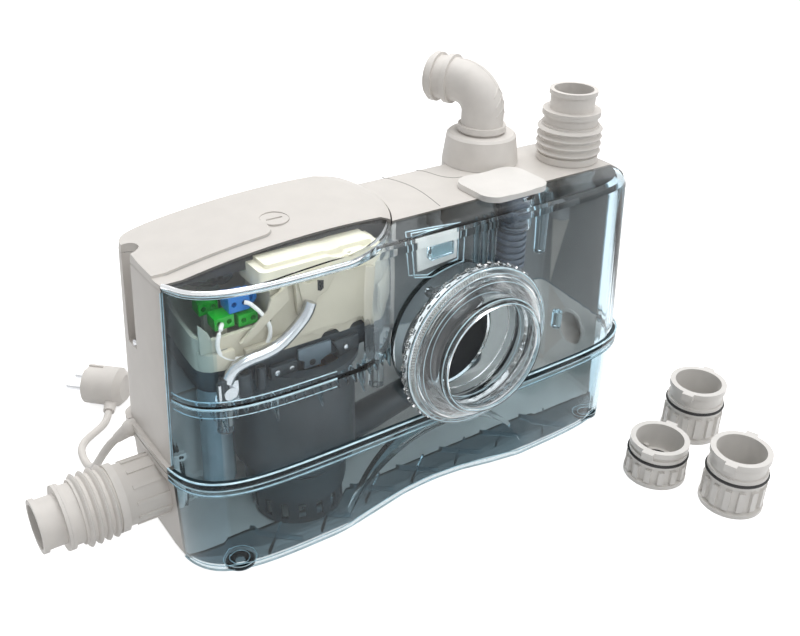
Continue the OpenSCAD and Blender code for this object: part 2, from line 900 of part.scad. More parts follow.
module shaft_seal() {
  color(black)
    translate([motor_x, motor_y, motor_z])
      ring(bearing_r - 1, shaft_r + run, 5.8);
}

module rotor() {
  color(steel)
    translate([motor_x, motor_y, stator_z])
      ring(rotor_r, shaft_r, stator_h);
}

module motor_shaft() {
  z0 = cutter_z - 2;
  color(steel)
    translate([motor_x, motor_y, z0])
      cylinder(r = shaft_r, h = motor_top + 4 - 13 - z0);
}

module impeller() {
  blades = 5;
  color(motor_colour)
    translate([motor_x, motor_y, impeller_z])
      difference() {
        union() {
          translate([0, 0, 7])
            cylinder(r = impeller_r, h = 2.5);
          cylinder(r = shaft_r + 4, h = 8);
          for (i = [0:blades - 1])
            rotate([0, 0, i * 360 / blades])
              translate([shaft_r + 1, -1.5, 0.5])
                cube([impeller_r - shaft_r - 3, 3, 7]);
        }
        translate([0, 0, -1])
          cylinder(r = shaft_r, h = 12);
      }
}

module cutter() {
  color(steel)
    translate([motor_x, motor_y, cutter_z])
      difference() {
        union() {
          cylinder(r = shaft_r + 4, h = 7);
          for (a = [0, 90, 180, 270])
            rotate([0, 0, a])
              translate([0, -3, 1])
                cube([cutter_r, 6, 3]);
          for (a = [0, 180])
            rotate([0, 0, a])
              translate([cutter_r - 3, -3, 1])
                cube([3, 6, 8]);
        }
        translate([0, 0, -1])
          cylinder(r = shaft_r, h = 10);
      }
}

module pump_volute() {
  color(motor_colour)
    translate([motor_x, motor_y, volute_z])
      difference() {
        union() {
          cylinder(r = volute_r, h = volute_h, $fn = 96);
          rotate([0, 0, atan2(out_y - motor_y, out_x - motor_x)])
            translate([volute_r - 6, 0, volute_h / 2])
              rotate([0, 90, 0])
                cylinder(r = 10.5, h = 22);
        }
        translate([0, 0, 3])
          cylinder(r = impeller_r + 3, h = volute_h - 6, $fn = 96);
        translate([0, 0, -1])
          cylinder(r = shaft_r + 6, h = 6);
        translate([0, 0, volute_h - 4])
          cylinder(r = shaft_r + 1, h = 5);
        rotate([0, 0, atan2(out_y - motor_y, out_x - motor_x)])
          translate([impeller_r - 2, 0, volute_h / 2])
            rotate([0, 90, 0])
              cylinder(r = 7.5, h = 60);
      }
}

module suction_basket() {
  holes = 16;
  color(motor_colour)
    translate([motor_x, motor_y, basket_z])
      difference() {
        ring(basket_r, basket_r - 3, volute_z - play - basket_z);
        for (i = [0:holes - 1])
          rotate([0, 0, i * 360 / holes])
            translate([basket_r - 5, -3, 4])
              cube([8, 6, volute_z - basket_z - 10]);
      }
}

// Level sensing
module air_chamber() {
  z0 = basket_z + 6;
  color(clear_colour)
    translate([chamber_x, chamber_y, z0])
      difference() {
        cylinder(r = chamber_r, h = deck_z - play - z0);
        translate([0, 0, -1])
          cylinder(r = chamber_r - 2, h = deck_z - play - z0 - 3);
        translate([0, 0, deck_z - z0 - 20])
          cylinder(r = hose_r - 1, h = 40);
      }
}

module pressure_hose() {
  color(black)
    tube(smooth(hose_route, 3), hose_r, 10, [1, 0.2, 0]);
}

module pressure_switch() {
  z0 = tray_z + tray_wall + play;
  color([0.66, 0.82, 0.95, 0.7])
    translate([switch_x, switch_y, 0]) {
      translate([0, 0, z0])
        cylinder(r = 8, h = tray_z + 47 - z0);
      translate([0, 0, tray_z + 46])
        cylinder(r = 19, h = 7);
      translate([0, 0, tray_z + 53])
        cylinder(r1 = 18, r2 = 12, h = 6);
      translate([0, 0, tray_z + 59])
        cylinder(r1 = 12, r2 = 5, h = 3);
    }
}

// Electronics
module electronics_tray() {
  color(beige)
    difference() {
      union() {
        translate([0, 0, tray_z])
          linear_extrude(tray_wall)
            bay_block(tray_x - tray_l / 2, tray_x + tray_l / 2, tray_w / 2, 14, 3);
        translate([0, 0, tray_z])
          linear_extrude(tray_rim - tray_z)
            difference() {
              bay_block(tray_x - tray_l / 2, tray_x + tray_l / 2, tray_w / 2, 14, 3);
              bay_block(tray_x - tray_l / 2 + tray_wall, tray_x + tray_l / 2 - tray_wall,
                tray_w / 2 - tray_wall, 11, 3 + tray_wall);
            }
        intersection() {
          translate([box_x - box_l / 2 + 6, -tray_w / 2, tray_z])
            cube([box_l + 60, tray_w, box_z - play - tray_z]);
          translate([0, 0, tray_z])
            linear_extrude(80)
              difference() {
                bay_block(tray_x - tray_l / 2, tray_x + tray_l / 2, tray_w / 2, 14, 3);
                bay_block(tray_x - tray_l / 2 + tray_wall, tray_x + tray_l / 2 - tray_wall,
                  tray_w / 2 - tray_wall, 11, 3 + tray_wall);
              }
        }
        for (x = [box_x - box_l / 2 + 6, box_x + box_l / 2 - 9])
          translate([x, box_y - box_w / 2 + 1, tray_z + 1])
            cube([tray_wall, box_w - 2, box_z - play - tray_z - 1]);
        translate([lid_screw_x, lid_screw_y, tray_z + 1])
          cylinder(r = 8, h = screw_boss_z - play - tray_z - 1);
        for (p = terminal_places)
          translate([p[0] - 3, p[1] - 3, tray_z + 1])
            cube([6, 6, p[2] - play - tray_z - 1]);
      }
      translate([lid_screw_x, lid_screw_y, screw_boss_z - 16])
        cylinder(r = 6.3, h = 20);
      for (x = [motor_x + 14, motor_x + 40])
        translate([x, -tray_w / 2 - 1, tray_z - 4])
          rotate([-90, 0, 0])
            cylinder(r = 9, h = 6);
      translate([handle_route[0][0], -tray_w / 2 - 1, tray_z + 30])
        cube([12, 6, 10]);
    }
}

module capacitor_box() {
  color([0.96, 0.93, 0.82])
    translate([box_x, box_y, box_z]) {
      round_plate([box_l, box_w, box_h], box_round);
      translate([0, 0, box_h])
        round_plate([box_l - 12, box_w - 10, 3], 3);
    }
}

module control_board() {
  color([0.10, 0.35, 0.20])
    translate([lid_x + 40, 18, tray_z + tray_wall + play]) {
      translate([-30, -14, 6])
        cube([52, 28, 1.6]);
      for (x = [-26, 16], y = [-11, 11])
        translate([x, y, 0])
          cylinder(r = 2, h = 6 + eps, $fn = 24);
      for (x = [-22, -6, 8])
        translate([x, -8, 7.6 - eps])
          cube([10, 14, 9]);
    }
}

module terminal_block(size) {
  difference() {
    translate([-size[0] / 2, -size[1] / 2, 0])
      cube(size);
    for (x = [-1, 1])
      translate([x * size[0] / 4, -size[1] / 2 - 1, size[2] / 2])
        rotate([-90, 0, 0])
          cylinder(r = 2, h = 6, $fn = 24);
  }
}

module terminals_green() {
  color([0.0, 0.62, 0.05])
    for (p = terminal_places)
      translate(p)
        terminal_block([15, 12, 9]);
}

module terminal_blue() {
  color([0.0, 0.42, 0.75])
    translate(blue_place) {
      terminal_block([16, 14, 12]);
      translate([9.5, 0, 7])
        rotate([90, 0, 0])
          translate([0, 0, -3])
            ring(6.5, 3.8, 6);
    }
}

module wiring() {
  color([0.93, 0.93, 0.91])
    tube(smooth(wire_route, 3), 1.6, 8, [1, 1, 1]);
}

module lift_handle() {
  color(steel) {
    tube(smooth(handle_route, 3), handle_r, 12, [0, 1, 0]);
    difference() {
      translate([handle_x - 8, -52, motor_top])
        cube([16, 4, 16]);
      translate([handle_x, -53, motor_top + 8])
        rotate([-90, 0, 0])
          cylinder(r = 3, h = 6, $fn = 32);
    }
  }
}

module handle_bolt() {
  color(steel)
    translate([handle_x, -52, motor_top + 8])
      rotate([90, 0, 0]) {
        cylinder(r = 5, h = 2.5, $fn = 32);
        translate([0, 0, -8])
          cylinder(r = 2.9, h = 9, $fn = 32);
      }
}

// Discharge
module riser_pipe() {
  a = atan2(out_y - motor_y, out_x - motor_x);
  reach = norm([out_x - motor_x, out_y - motor_y]);
  z = volute_z + volute_h / 2;
  top = casing_h + 14;
  color(motor_colour)
    difference() {
      union() {
        translate([motor_x, motor_y, z])
          rotate([0, 0, a])
            translate([volute_r + 4, 0, 0])
              rotate([0, 90, 0])
                cylinder(r = 14, h = reach - volute_r - 4);
        translate([out_x, out_y, z])
          sphere(r = riser_r);
        translate([out_x, out_y, z])
          cylinder(r = riser_r, h = top - z);
      }
      translate([motor_x, motor_y, z])
        rotate([0, 0, a])
          translate([volute_r, 0, 0])
            rotate([0, 90, 0])
              cylinder(r = 10.5 + play, h = 18);
      translate([motor_x, motor_y, z])
        rotate([0, 0, a])
          translate([volute_r, 0, 0])
            rotate([0, 90, 0])
              cylinder(r = 8, h = reach - volute_r);
      translate([out_x, out_y, z])
        cylinder(r = 9, h = top);
      translate([out_x, out_y, seat_z])
        cylinder(r = riser_r - 2.2, h = top);
      translate([out_x, out_y, z])
        sphere(r = 9);
      translate([out_x - 20, out_y + 9.3, flap_pin_z])
        rotate([0, 90, 0])
          cylinder(r = 1.2 + run, h = 40, $fn = 24);
    }
}

module discharge_flap() {
  color(black) {
    translate([out_x, out_y, seat_z + play])
      cylinder(r = 10.4, h = 2);
    translate([out_x - 5, out_y + 9.3, flap_pin_z])
      rotate([0, 90, 0])
        cylinder(r = 1.6, h = 10, $fn = 24);
    translate([out_x - 10.5, out_y + 9.3, flap_pin_z])
      rotate([0, 90, 0])
        cylinder(r = 1.2, h = 21, $fn = 24);
  }
}

module discharge_cap() {
  color(rubber_colour)
    translate([out_x, out_y, casing_h + play])
      difference() {
        union() {
          cylinder(r1 = cap_r, r2 = cap_r - 0.6, h = 5);
          translate([0, 0, 5])
            cylinder(r1 = cap_r - 0.6, r2 = cap_r - 3.2, h = cap_h - 7);
          translate([0, 0, cap_h - 2])
            cylinder(r1 = cap_r - 3.2, r2 = cap_r - 5.2, h = 2);
        }
        translate([0, 0, -1])
          cylinder(r = cap_r - 6.5, h = cap_h - 2);
        translate([0, 0, -1])
          cylinder(r = elbow_r + play, h = cap_h + 2);
      }
}

module discharge_elbow() {
  bend = 24;
  z0 = casing_h + 14.3 + play;
  bore_r = elbow_r - 3;
  bead_r = elbow_r + 2.6;
  color(rubber_colour)
    translate([out_x, out_y, 0])
      rotate([0, 0, elbow_turn]) {
        translate([0, 0, z0])
          ring(elbow_r + 4, bore_r, casing_h + cap_h - 3 - z0);
        translate([0, 0, z0 + 1])
          ring(elbow_r, bore_r, elbow_z - bend - z0 - 1);
        translate([0, 0, casing_h + cap_h + 2.5])
          ring(bead_r, bore_r, 5);
        translate([bend, 0, elbow_z - bend])
          intersection() {
            rotate([90, 0, 0])
              rotate_extrude()
                translate([bend, 0])
                  difference() {
                    circle(r = elbow_r);
                    circle(r = bore_r);
                  }
            translate([-100, -50, 0])
              cube(100);
          }
        translate([bend, 0, elbow_z])
          rotate([0, 90, 0])
            ring(elbow_r, bore_r, elbow_reach - bend);
        for (x = [elbow_reach - 22, elbow_reach - 8])
          translate([x, 0, elbow_z])
            rotate([0, 90, 0])
              ring(bead_r, bore_r, 5);
      }
}

// Lid
module crown(drop) {
  translate([crown_x, crown_y, lid_top])
    rotate([crown_tilt, 0, 0])
      translate([0, 0, -crown_r])
        rotate([-90, 0, 0])
          cylinder(r = crown_r - drop, h = 2 * big, center = true, $fn = 360);
  translate([-big, -big, lid_z - big])
    cube([2 * big, 2 * big, big + 3.5 - drop]);
}

module lid_slabs(levels) {
  hull()
    for (l = levels)
      translate([0, 0, l[0]])
        linear_extrude(eps)
          lid_outline(lid_base_inset + l[1]);
}

// The lid falls to the casing top all round its round end
end_profile = [[lid_r + 6, -20], [lid_r + 6, 0], [lid_r, 0.6], [lid_r - 3, 3], [lid_r - 10, 6.5],
  [lid_r - 20, 10], [lid_r - 35, 13.5], [lid_r - 60, 17], [0, 18], [0, -20]];
module lid_end(drop) {
  translate([lid_x, lid_y, casing_h - drop]) {
    rotate_extrude($fn = 120)
      polygon(end_profile);
    rotate([90, 0, -90])
      linear_extrude(big)
        for (m = [0, 1])
          mirror([m, 0])
            polygon(end_profile);
  }
}

module plate_prism() {
  linear_extrude(big)
    offset(r = plate_r, $fn = 48)
      translate([plate_end - plate_r - big, plate_y[0] + plate_r])
        square([big, plate_y[1] - plate_y[0] - 2 * plate_r]);
}

module lid_solid() {
  intersection() {
    lid_slabs([[lid_z + play, 0], [lid_z + 4, 0.6], [lid_z + 7, 2.2], [lid_z + 9, 4.5],
      [lid_z + 40, 5.5]]);
    lid_end(0);
    union() {
      crown(0);
      intersection() {
        crown(-plate_up);
        plate_prism();
      }
    }
  }
}

module lid_body() {
  difference() {
    union() {
      difference() {
        lid_solid();
        intersection() {
          translate([0, 0, -lid_t])
            lid_slabs([[lid_z - 1, lid_t], [lid_z + 7, lid_t + 2], [lid_z + 40, lid_t + 5.5]]);
          lid_end(lid_t);
          crown(lid_t);
        }
      }
      intersection() {
        translate([lid_screw_x, lid_screw_y, screw_boss_z])
          cylinder(r = lid_screw_r + 3.5, h = 40);
        crown(0.5);
      }
      intersection() {
        end_channel(lid_t);
        lid_solid();
      }
    }
    translate([lid_screw_x, lid_screw_y, screw_head_z])
      cylinder(r = lid_screw_r + play, h = 40);
    translate([lid_screw_x, lid_screw_y, screw_boss_z - 1])
      cylinder(r = 4.3, h = 40);
    end_channel(0);
  }
}

module lid_rear() {
  color(shell_colour)
    rear_half()
      lid_body();
}

module lid_front() {
  color(clear_colour)
    front_half()
      lid_body();
}

module lid_screw() {
  color(shell_colour)
    translate([lid_screw_x, lid_screw_y, 0])
      difference() {
        union() {
          translate([0, 0, screw_head_z + play])
            cylinder(r = lid_screw_r, h = 4);
          translate([0, 0, screw_boss_z - 12])
            cylinder(r = 4, h = screw_head_z - screw_boss_z + 13);
          translate([-5.5, -1.5, screw_boss_z - 12])
            cube([11, 3, 3]);
        }
        translate([-lid_screw_r * 0.6, -1, screw_head_z + play + 2.2])
          cube([lid_screw_r * 1.2, 2, 4]);
      }
}

// Vent
module vent_cap() {
  z0 = casing_h + play;
  dish_r = 160;
  color([0.96, 0.96, 0.95])
    translate([vent_x, vent_y, z0])
      difference() {
        round_plate([vent_l, vent_w, 5], 14);
        translate([0, 0, dish_r + 2.2])
          sphere(r = dish_r, $fn = 200);
      }
}

module filter_cartridge() {
  fins = 10;
  pitch = (filter_l - 10) / fins;
  color([0.16, 0.20, 0.26])
    translate([filter_x, filter_y, casing_h + play - filter_l]) {
      cylinder(r = filter_r - 2, h = filter_l);
      for (i = [0:fins - 1])
        translate([0, 0, i * pitch])
          cylinder(r = filter_r, h = pitch * 0.55);
      translate([0, 0, filter_l - 8])
        cylinder(r = filter_r, h = 8);
    }
}

// Power cord
module cable_gland() {
  color(rubber_colour)
    difference() {
      cord_way(0);
      translate([gland_mouth[0] + 4, gland_mouth[1], gland_mouth[2]])
        rotate([0, 90, 0])
          cylinder(r = cord_d / 2, h = 20);
    }
}

module power_cord() {
  color(rubber_colour)
    tube(cord_route, cord_d / 2, 10, [0, 0, 1]);
}

module plug_body() {
  tip = cord_route[len(cord_route) - 1];
  neck = [-190, 212, 15];
  d = neck - tip;
  color(rubber_colour) {
    translate(plug_at)
      rotate([0, 0, plug_turn])
        rotate([0, 90, 0])
          difference() {
            union() {
              translate([0, 0, -14])
                cylinder(r = plug_r, h = 32);
              translate([0, 0, -20])
                cylinder(r1 = plug_r - 6, r2 = plug_r, h = 6 + eps);
            }
            for (a = [0, 180])
              rotate([0, 0, a])
                translate([plug_r - 2, -4, 2])
                  cube([6, 8, 20]);
          }
    translate(tip)
      rotate([0, acos(d[2] / norm(d)), atan2(d[1], d[0])])
        cylinder(r1 = 5.2, r2 = 7.2, h = norm(d));
    translate(neck)
      rotate([60, 0, 20])
        translate([0, 0, -8])
          cylinder(r = 7.2, h = 10);
  }
}

module plug_pins() {
  color(steel)
    translate(plug_at)
      rotate([0, 0, plug_turn])
        rotate([0, 90, 0])
          for (y = [-1, 1])
            translate([0, y * 9.5, 18]) {
              cylinder(r = 2.4, h = 17, $fn = 32);
              translate([0, 0, 17])
                cylinder(r1 = 2.4, r2 = 1.2, h = 2, $fn = 32);
            }
}

// Loose valve connectors
function valve_height(i) = valve_places[i][2] == 1 ? valve_short_h : valve_h;
function valve_seat(i) = valve_height(i) * 0.3;

module valve_body(i) {
  h = valve_height(i);
  ribs = 14;
  bore = valve_r - 6.4;
  z_seat = valve_seat(i);
  color(shell_colour)
    translate([valve_places[i][0], valve_places[i][1], 0])
      difference() {
        union() {
          cylinder(r = valve_r, h = 3.5);
          cylinder(r = valve_r - 3.6, h = h);
          for (k = [0:ribs - 1])
            rotate([0, 0, k * 360 / ribs])
              translate([valve_r - 5, -2.6, h * 0.12])
                cube([4.2, 5.2, h * 0.36]);
          translate([0, 0, h * 0.54])
            cylinder(r = valve_r - 1.8, h = 2.5);
          translate([0, 0, h * 0.54 + 5.7])
            cylinder(r = valve_r - 1.8, h = 3);
          translate([0, 0, h - 5])
            cylinder(r = valve_r - 1.6, h = 5);
          for (a = [20, 200])
            rotate([0, 0, a])
              translate([valve_r - 6, -5, h - 7])
                cube([8, 10, 7]);
        }
        translate([0, 0, -1])
          cylinder(r = bore, h = z_seat - 1.5);
        translate([0, 0, -1])
          cylinder(r = valve_flap_r - 2, h = h);
        difference() {
          translate([0, 0, z_seat])
            cylinder(r = bore, h = h);
          for (x = [-1, 1])
            translate([x * 6.8 - 1.7, bore - 4.6, z_seat - eps])
              cube([3.4, 8, 5]);
        }
        translate([-9, bore - 2.2, z_seat + play + 1.4])
          rotate([0, 90, 0])
            cylinder(r = 1.2 + run, h = 18, $fn = 24);
      }
}

module valve_ring(i) {
  h = valve_height(i);
  color(black)
    translate([valve_places[i][0], valve_places[i][1], h * 0.54 + 4.1])
      rotate_extrude()
        translate([valve_r - 2, 0])
          circle(r = 1.5, $fn = 24);
}

module valve_flap(i) {
  bore = valve_r - 6.4;
  z = valve_seat(i) + play;
  color(black)
    translate([valve_places[i][0], valve_places[i][1], z]) {
      cylinder(r = valve_flap_r, h = 1.6);
      translate([-4.6, valve_flap_r - 4, 0])
        cube([9.2, bore - 2.2 - valve_flap_r + 4, 1.6]);
      translate([-4.6, bore - 2.2, 1.4])
        rotate([0, 90, 0])
          cylinder(r = 1.4, h = 9.2, $fn = 24);
      translate([-8, bore - 2.2, 1.4])
        rotate([0, 90, 0])
          cylinder(r = 1.2, h = 16, $fn = 24);
    }
}

tank_rear();
tank_front();
seam_gasket();
cover_rear();
cover_front();
casing_feet();
casing_screws();
wc_clamp_ring();
wc_sleeve();
wc_flap();
left_sleeve();
top_sleeve();
right_cap();
left_flap();
motor_housing();
motor_cover();
stator();
motor_bearings();
shaft_seal();
rotor();
motor_shaft();
impeller();
cutter();
pump_volute();
suction_basket();
air_chamber();
pressure_hose();
pressure_switch();
electronics_tray();
capacitor_box();
control_board();
terminals_green();
terminal_blue();
wiring();
lift_handle();
handle_bolt();
riser_pipe();
discharge_flap();
discharge_cap();
discharge_elbow();
lid_rear();
lid_front();
lid_screw();
vent_cap();
filter_cartridge();
cable_gland();
power_cord();
plug_body();
plug_pins();
valve_body(0);  // valve_1_body
valve_body(1);  // valve_2_body
valve_body(2);  // valve_3_body
valve_ring(0);  // valve_1_ring
valve_ring(1);  // valve_2_ring
valve_ring(2);  // valve_3_ring
valve_flap(0);  // valve_1_flap
valve_flap(1);  // valve_2_flap
valve_flap(2);  // valve_3_flap
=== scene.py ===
"""Sewage lifting station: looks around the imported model, in metres, in the model's own frame."""

import math

import bmesh
import bpy
from mathutils import Matrix, Vector


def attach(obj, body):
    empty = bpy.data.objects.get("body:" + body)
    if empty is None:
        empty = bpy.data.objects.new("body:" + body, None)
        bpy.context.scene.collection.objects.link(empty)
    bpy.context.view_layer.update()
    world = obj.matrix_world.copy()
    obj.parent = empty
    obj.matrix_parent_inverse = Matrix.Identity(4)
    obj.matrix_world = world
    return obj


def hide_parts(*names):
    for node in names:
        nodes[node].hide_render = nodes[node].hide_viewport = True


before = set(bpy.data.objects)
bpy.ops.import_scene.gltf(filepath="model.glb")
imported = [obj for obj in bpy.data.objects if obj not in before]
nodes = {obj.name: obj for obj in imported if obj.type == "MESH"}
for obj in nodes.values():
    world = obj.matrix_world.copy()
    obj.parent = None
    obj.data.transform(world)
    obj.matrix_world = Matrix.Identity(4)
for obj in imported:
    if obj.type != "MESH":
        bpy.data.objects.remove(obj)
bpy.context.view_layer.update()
MM = 0.001


# Camera, fitted to points of the photograph: place in metres, turns in degrees, focal length in pixels
CAMERA_AT = (-0.4160, -0.5786, 0.54475)
CAMERA_TURNS = (35.597, 29.597, 1.5955)
FOCAL_PX, PICTURE_W = 962.1, 800
SENSOR_W = 36
CLIP_NEAR, CLIP_FAR = 0.01, 50


def make_camera():
    yaw, down, roll = (math.radians(turn) for turn in CAMERA_TURNS)
    forward = Vector((math.sin(yaw) * math.cos(down), math.cos(yaw) * math.cos(down), -math.sin(down)))
    right0 = Vector((math.cos(yaw), -math.sin(yaw), 0))
    up0 = right0.cross(forward)
    right = right0 * math.cos(roll) + up0 * math.sin(roll)
    up = up0 * math.cos(roll) - right0 * math.sin(roll)
    data = bpy.data.cameras.new("camera")
    data.sensor_fit = "HORIZONTAL"
    data.sensor_width = SENSOR_W
    data.lens = FOCAL_PX / PICTURE_W * SENSOR_W
    data.clip_start = CLIP_NEAR
    data.clip_end = CLIP_FAR
    cam = bpy.data.objects.new("camera", data)
    bpy.context.scene.collection.objects.link(cam)
    turn = Matrix((right, up, -forward)).transposed().to_4x4()
    cam.matrix_world = Matrix.Translation(Vector(CAMERA_AT)) @ turn
    bpy.context.scene.camera = cam


make_camera()

# Power cord: the points of its route, as in the model's source
CORD_D, CORD_LENGTH = 0.007, 0.1810
CORD_ROUTE = [(-236, 60, 72), (-240, 68, 62), (-243, 77, 50), (-245, 87, 37), (-246, 98, 24),
              (-246, 110, 13), (-246, 122, 6), (-246, 134, 3.7), (-245, 145, 3.7), (-242, 155, 3.7),
              (-236, 163, 3.7), (-228, 169, 3.7), (-220, 174, 3.7), (-212, 180, 4), (-207, 186, 5),
              (-203, 192, 7)]


def curve_tube(name, points, radius, cyclic=False):
    """A round tube along points in millimetres, with smooth bends."""
    data = bpy.data.curves.new(name, "CURVE")
    data.dimensions = "3D"
    data.bevel_depth = radius * MM
    data.bevel_resolution = 5
    data.resolution_u = 6
    data.use_fill_caps = True
    spline = data.splines.new("BEZIER")
    spline.bezier_points.add(len(points) - 1)
    spline.use_cyclic_u = cyclic
    for b, p in zip(spline.bezier_points, points):
        b.co = Vector(p) * MM
        b.handle_left_type = b.handle_right_type = "AUTO"
    obj = bpy.data.objects.new(name, data)
    bpy.context.scene.collection.objects.link(obj)
    return obj


cord = curve_tube("mains_lead", CORD_ROUTE, CORD_D / MM / 2)


# Materials
GRAIN_DEPTH = 0.0004
COAT_ROUGH = 0.12
ROUGH_SWING = 0.08
DRIFT_LOW, DRIFT_HIGH = 0.3, 0.72


def new_material(name, color, rough=0.5, metal=0.0, coat=0.0, bump=0.05, grain=900.0, vary=0.05,
                 spot=60.0):
    """A moulded or machined surface: slow colour drift, fine grain in colour, roughness and bump."""
    m = bpy.data.materials.new(name)
    m.use_nodes = True
    nt = m.node_tree
    b = nt.nodes["Principled BSDF"]
    b.inputs["Metallic"].default_value = metal
    b.inputs["Coat Weight"].default_value = coat
    b.inputs["Coat Roughness"].default_value = COAT_ROUGH
    tex = nt.nodes.new("ShaderNodeTexCoord")
    slow = nt.nodes.new("ShaderNodeTexNoise")
    slow.inputs["Scale"].default_value = spot
    slow.inputs["Detail"].default_value = 3
    fine = nt.nodes.new("ShaderNodeTexNoise")
    fine.inputs["Scale"].default_value = grain
    fine.inputs["Detail"].default_value = 4
    nt.links.new(tex.outputs["Object"], slow.inputs["Vector"])
    nt.links.new(tex.outputs["Object"], fine.inputs["Vector"])
    ramp = nt.nodes.new("ShaderNodeValToRGB")
    ramp.color_ramp.elements[0].position = DRIFT_LOW
    ramp.color_ramp.elements[1].position = DRIFT_HIGH
    dark = [c * (1 - vary) for c in color[:3]]
    light = [min(1.0, c * (1 + vary * 0.6)) for c in color[:3]]
    ramp.color_ramp.elements[0].color = (*dark, 1)
    ramp.color_ramp.elements[1].color = (*light, 1)
    nt.links.new(slow.outputs["Fac"], ramp.inputs["Fac"])
    nt.links.new(ramp.outputs["Color"], b.inputs["Base Color"])
    rr = nt.nodes.new("ShaderNodeMapRange")
    rr.inputs["To Min"].default_value = max(0.02, rough - ROUGH_SWING)
    rr.inputs["To Max"].default_value = min(1.0, rough + ROUGH_SWING)
    nt.links.new(fine.outputs["Fac"], rr.inputs["Value"])
    nt.links.new(rr.outputs["Result"], b.inputs["Roughness"])
    bp = nt.nodes.new("ShaderNodeBump")
    bp.inputs["Strength"].default_value = bump
    bp.inputs["Distance"].default_value = GRAIN_DEPTH
    nt.links.new(fine.outputs["Fac"], bp.inputs["Height"])
    nt.links.new(bp.outputs["Normal"], b.inputs["Normal"])
    return m


def clear_material(name, color, ior=1.40, shade=0.22, rough=0.03):
    """A clear moulding: it bends and mirrors the light, and lets part of it through to what is inside."""
    m = new_material(name, color, rough, bump=0.015, grain=140, vary=0.04, spot=25)
    nt = m.node_tree
    b = nt.nodes["Principled BSDF"]
    b.inputs["Transmission Weight"].default_value = 1.0
    b.inputs["IOR"].default_value = ior
    path = nt.nodes.new("ShaderNodeLightPath")
    alpha = nt.nodes.new("ShaderNodeMapRange")
    alpha.inputs["To Min"].default_value = 1.0
    alpha.inputs["To Max"].default_value = shade
    nt.links.new(path.outputs["Is Shadow Ray"], alpha.inputs["Value"])
    nt.links.new(alpha.outputs["Result"], b.inputs["Alpha"])
    return m


def thin_material(name, color, face, edge):
    """A thin clear wall: it hardly shows face on and is tinted where it is seen edge on."""
    m = new_material(name, color, 0.06, coat=0.4, bump=0.02, grain=140, vary=0.1, spot=25)
    nt = m.node_tree
    weight = nt.nodes.new("ShaderNodeLayerWeight")
    weight.inputs["Blend"].default_value = 0.3
    alpha = nt.nodes.new("ShaderNodeMapRange")
    alpha.inputs["To Min"].default_value = face
    alpha.inputs["To Max"].default_value = edge
    nt.links.new(weight.outputs["Facing"], alpha.inputs["Value"])
    nt.links.new(alpha.outputs["Result"], nt.nodes["Principled BSDF"].inputs["Alpha"])
    return m


WHITE = new_material("white_casing", (0.65, 0.62, 0.585), 0.42, bump=0.10, grain=1400, vary=0.03)
LOOSE_WHITE = new_material("white_fitting", (0.78, 0.76, 0.73), 0.35, bump=0.05, grain=1100, vary=0.03)
RUBBER = new_material("soft_grey", (0.73, 0.70, 0.665), 0.55, bump=0.12, grain=1200, vary=0.05)
BLACK = new_material("soft_black", (0.012, 0.012, 0.013), 0.5, bump=0.08, vary=0.3)
MOTOR = new_material("motor_shell", (0.020, 0.030, 0.038), 0.45, bump=0.02, grain=220, vary=0.15)
DARK_BLUE = new_material("filter_shell", (0.06, 0.085, 0.12), 0.35, bump=0.06, vary=0.15)
STEEL = new_material("bright_steel", (0.62, 0.63, 0.65), 0.22, metal=1.0, bump=0.04, grain=2200, vary=0.08)
COPPER = new_material("copper_winding", (0.55, 0.26, 0.12), 0.35, metal=0.9, bump=0.25, grain=1500, vary=0.2)
BEIGE = new_material("beige_tray", (0.54, 0.50, 0.40), 0.45, bump=0.08, grain=1000, vary=0.05)
CREAM = new_material("cream_box", (0.80, 0.75, 0.60), 0.40, bump=0.05, grain=1000, vary=0.04)
BOARD = new_material("circuit_board", (0.03, 0.16, 0.07), 0.35, bump=0.2, grain=500, vary=0.25)
GREEN = new_material("green_terminal", (0.0, 0.36, 0.015), 0.32, bump=0.03, vary=0.08)
BLUE = new_material("blue_terminal", (0.0, 0.16, 0.52), 0.30, bump=0.03, vary=0.08)
WIRE = new_material("white_wire", (0.80, 0.80, 0.78), 0.35, bump=0.03, vary=0.04)
CLEAR = clear_material("clear_casing", (0.90, 0.94, 0.96), 1.24)
CLEAR_TANK = clear_material("clear_tank", (0.56, 0.68, 0.73), 1.24)
# Near-black clear for the tank's floor: painted shade under the tank, seen through the floor
CLEAR_FLOOR_SHADE = clear_material("clear_tank_floor_shade", (0.030, 0.047, 0.056), 1.2)
SEAM_BAND = new_material("seam_band", (0.13, 0.19, 0.22), 0.2, coat=0.6, bump=0.02, grain=300, vary=0.15)
CLEAR_END = clear_material("clear_end_wall", (0.60, 0.75, 0.83), 1.24)
CLEAR_INLET = clear_material("clear_inlet", (0.93, 0.95, 0.96))
CLEAR_BLUE = clear_material("clear_dome", (0.55, 0.80, 0.98))
CHAMBER = new_material("chamber_shell", (0.50, 0.62, 0.68), 0.25, coat=0.5, bump=0.02, grain=300, vary=0.12)
THIN = thin_material("thin_clear_wall", (0.75, 0.85, 0.90), 0.04, 0.35)
CLEAR_FIN = clear_material("clear_fin", (0.62, 0.80, 0.88))
# Light bluish beads along the edges of the clear mouldings: the tint of a clear edge, with a painted highlight
# in its light colour
EDGE_HIGHLIGHT = new_material("clear_edge_highlight", (0.55, 0.74, 0.82), 0.15, coat=0.8, bump=0.02, grain=300, vary=0.25, spot=120)
# Bright chrome-like finish for the clear lid's rim: painted highlight
RIM_HIGHLIGHT = new_material("clear_rim", (0.82, 0.84, 0.86), 0.08, metal=0.85, coat=1.0, bump=0.02, grain=300,
                            vary=0.12, spot=30)
FROSTED = new_material("frosted_teeth", (0.72, 0.74, 0.72), 0.25, coat=0.5, bump=0.03, vary=0.1)
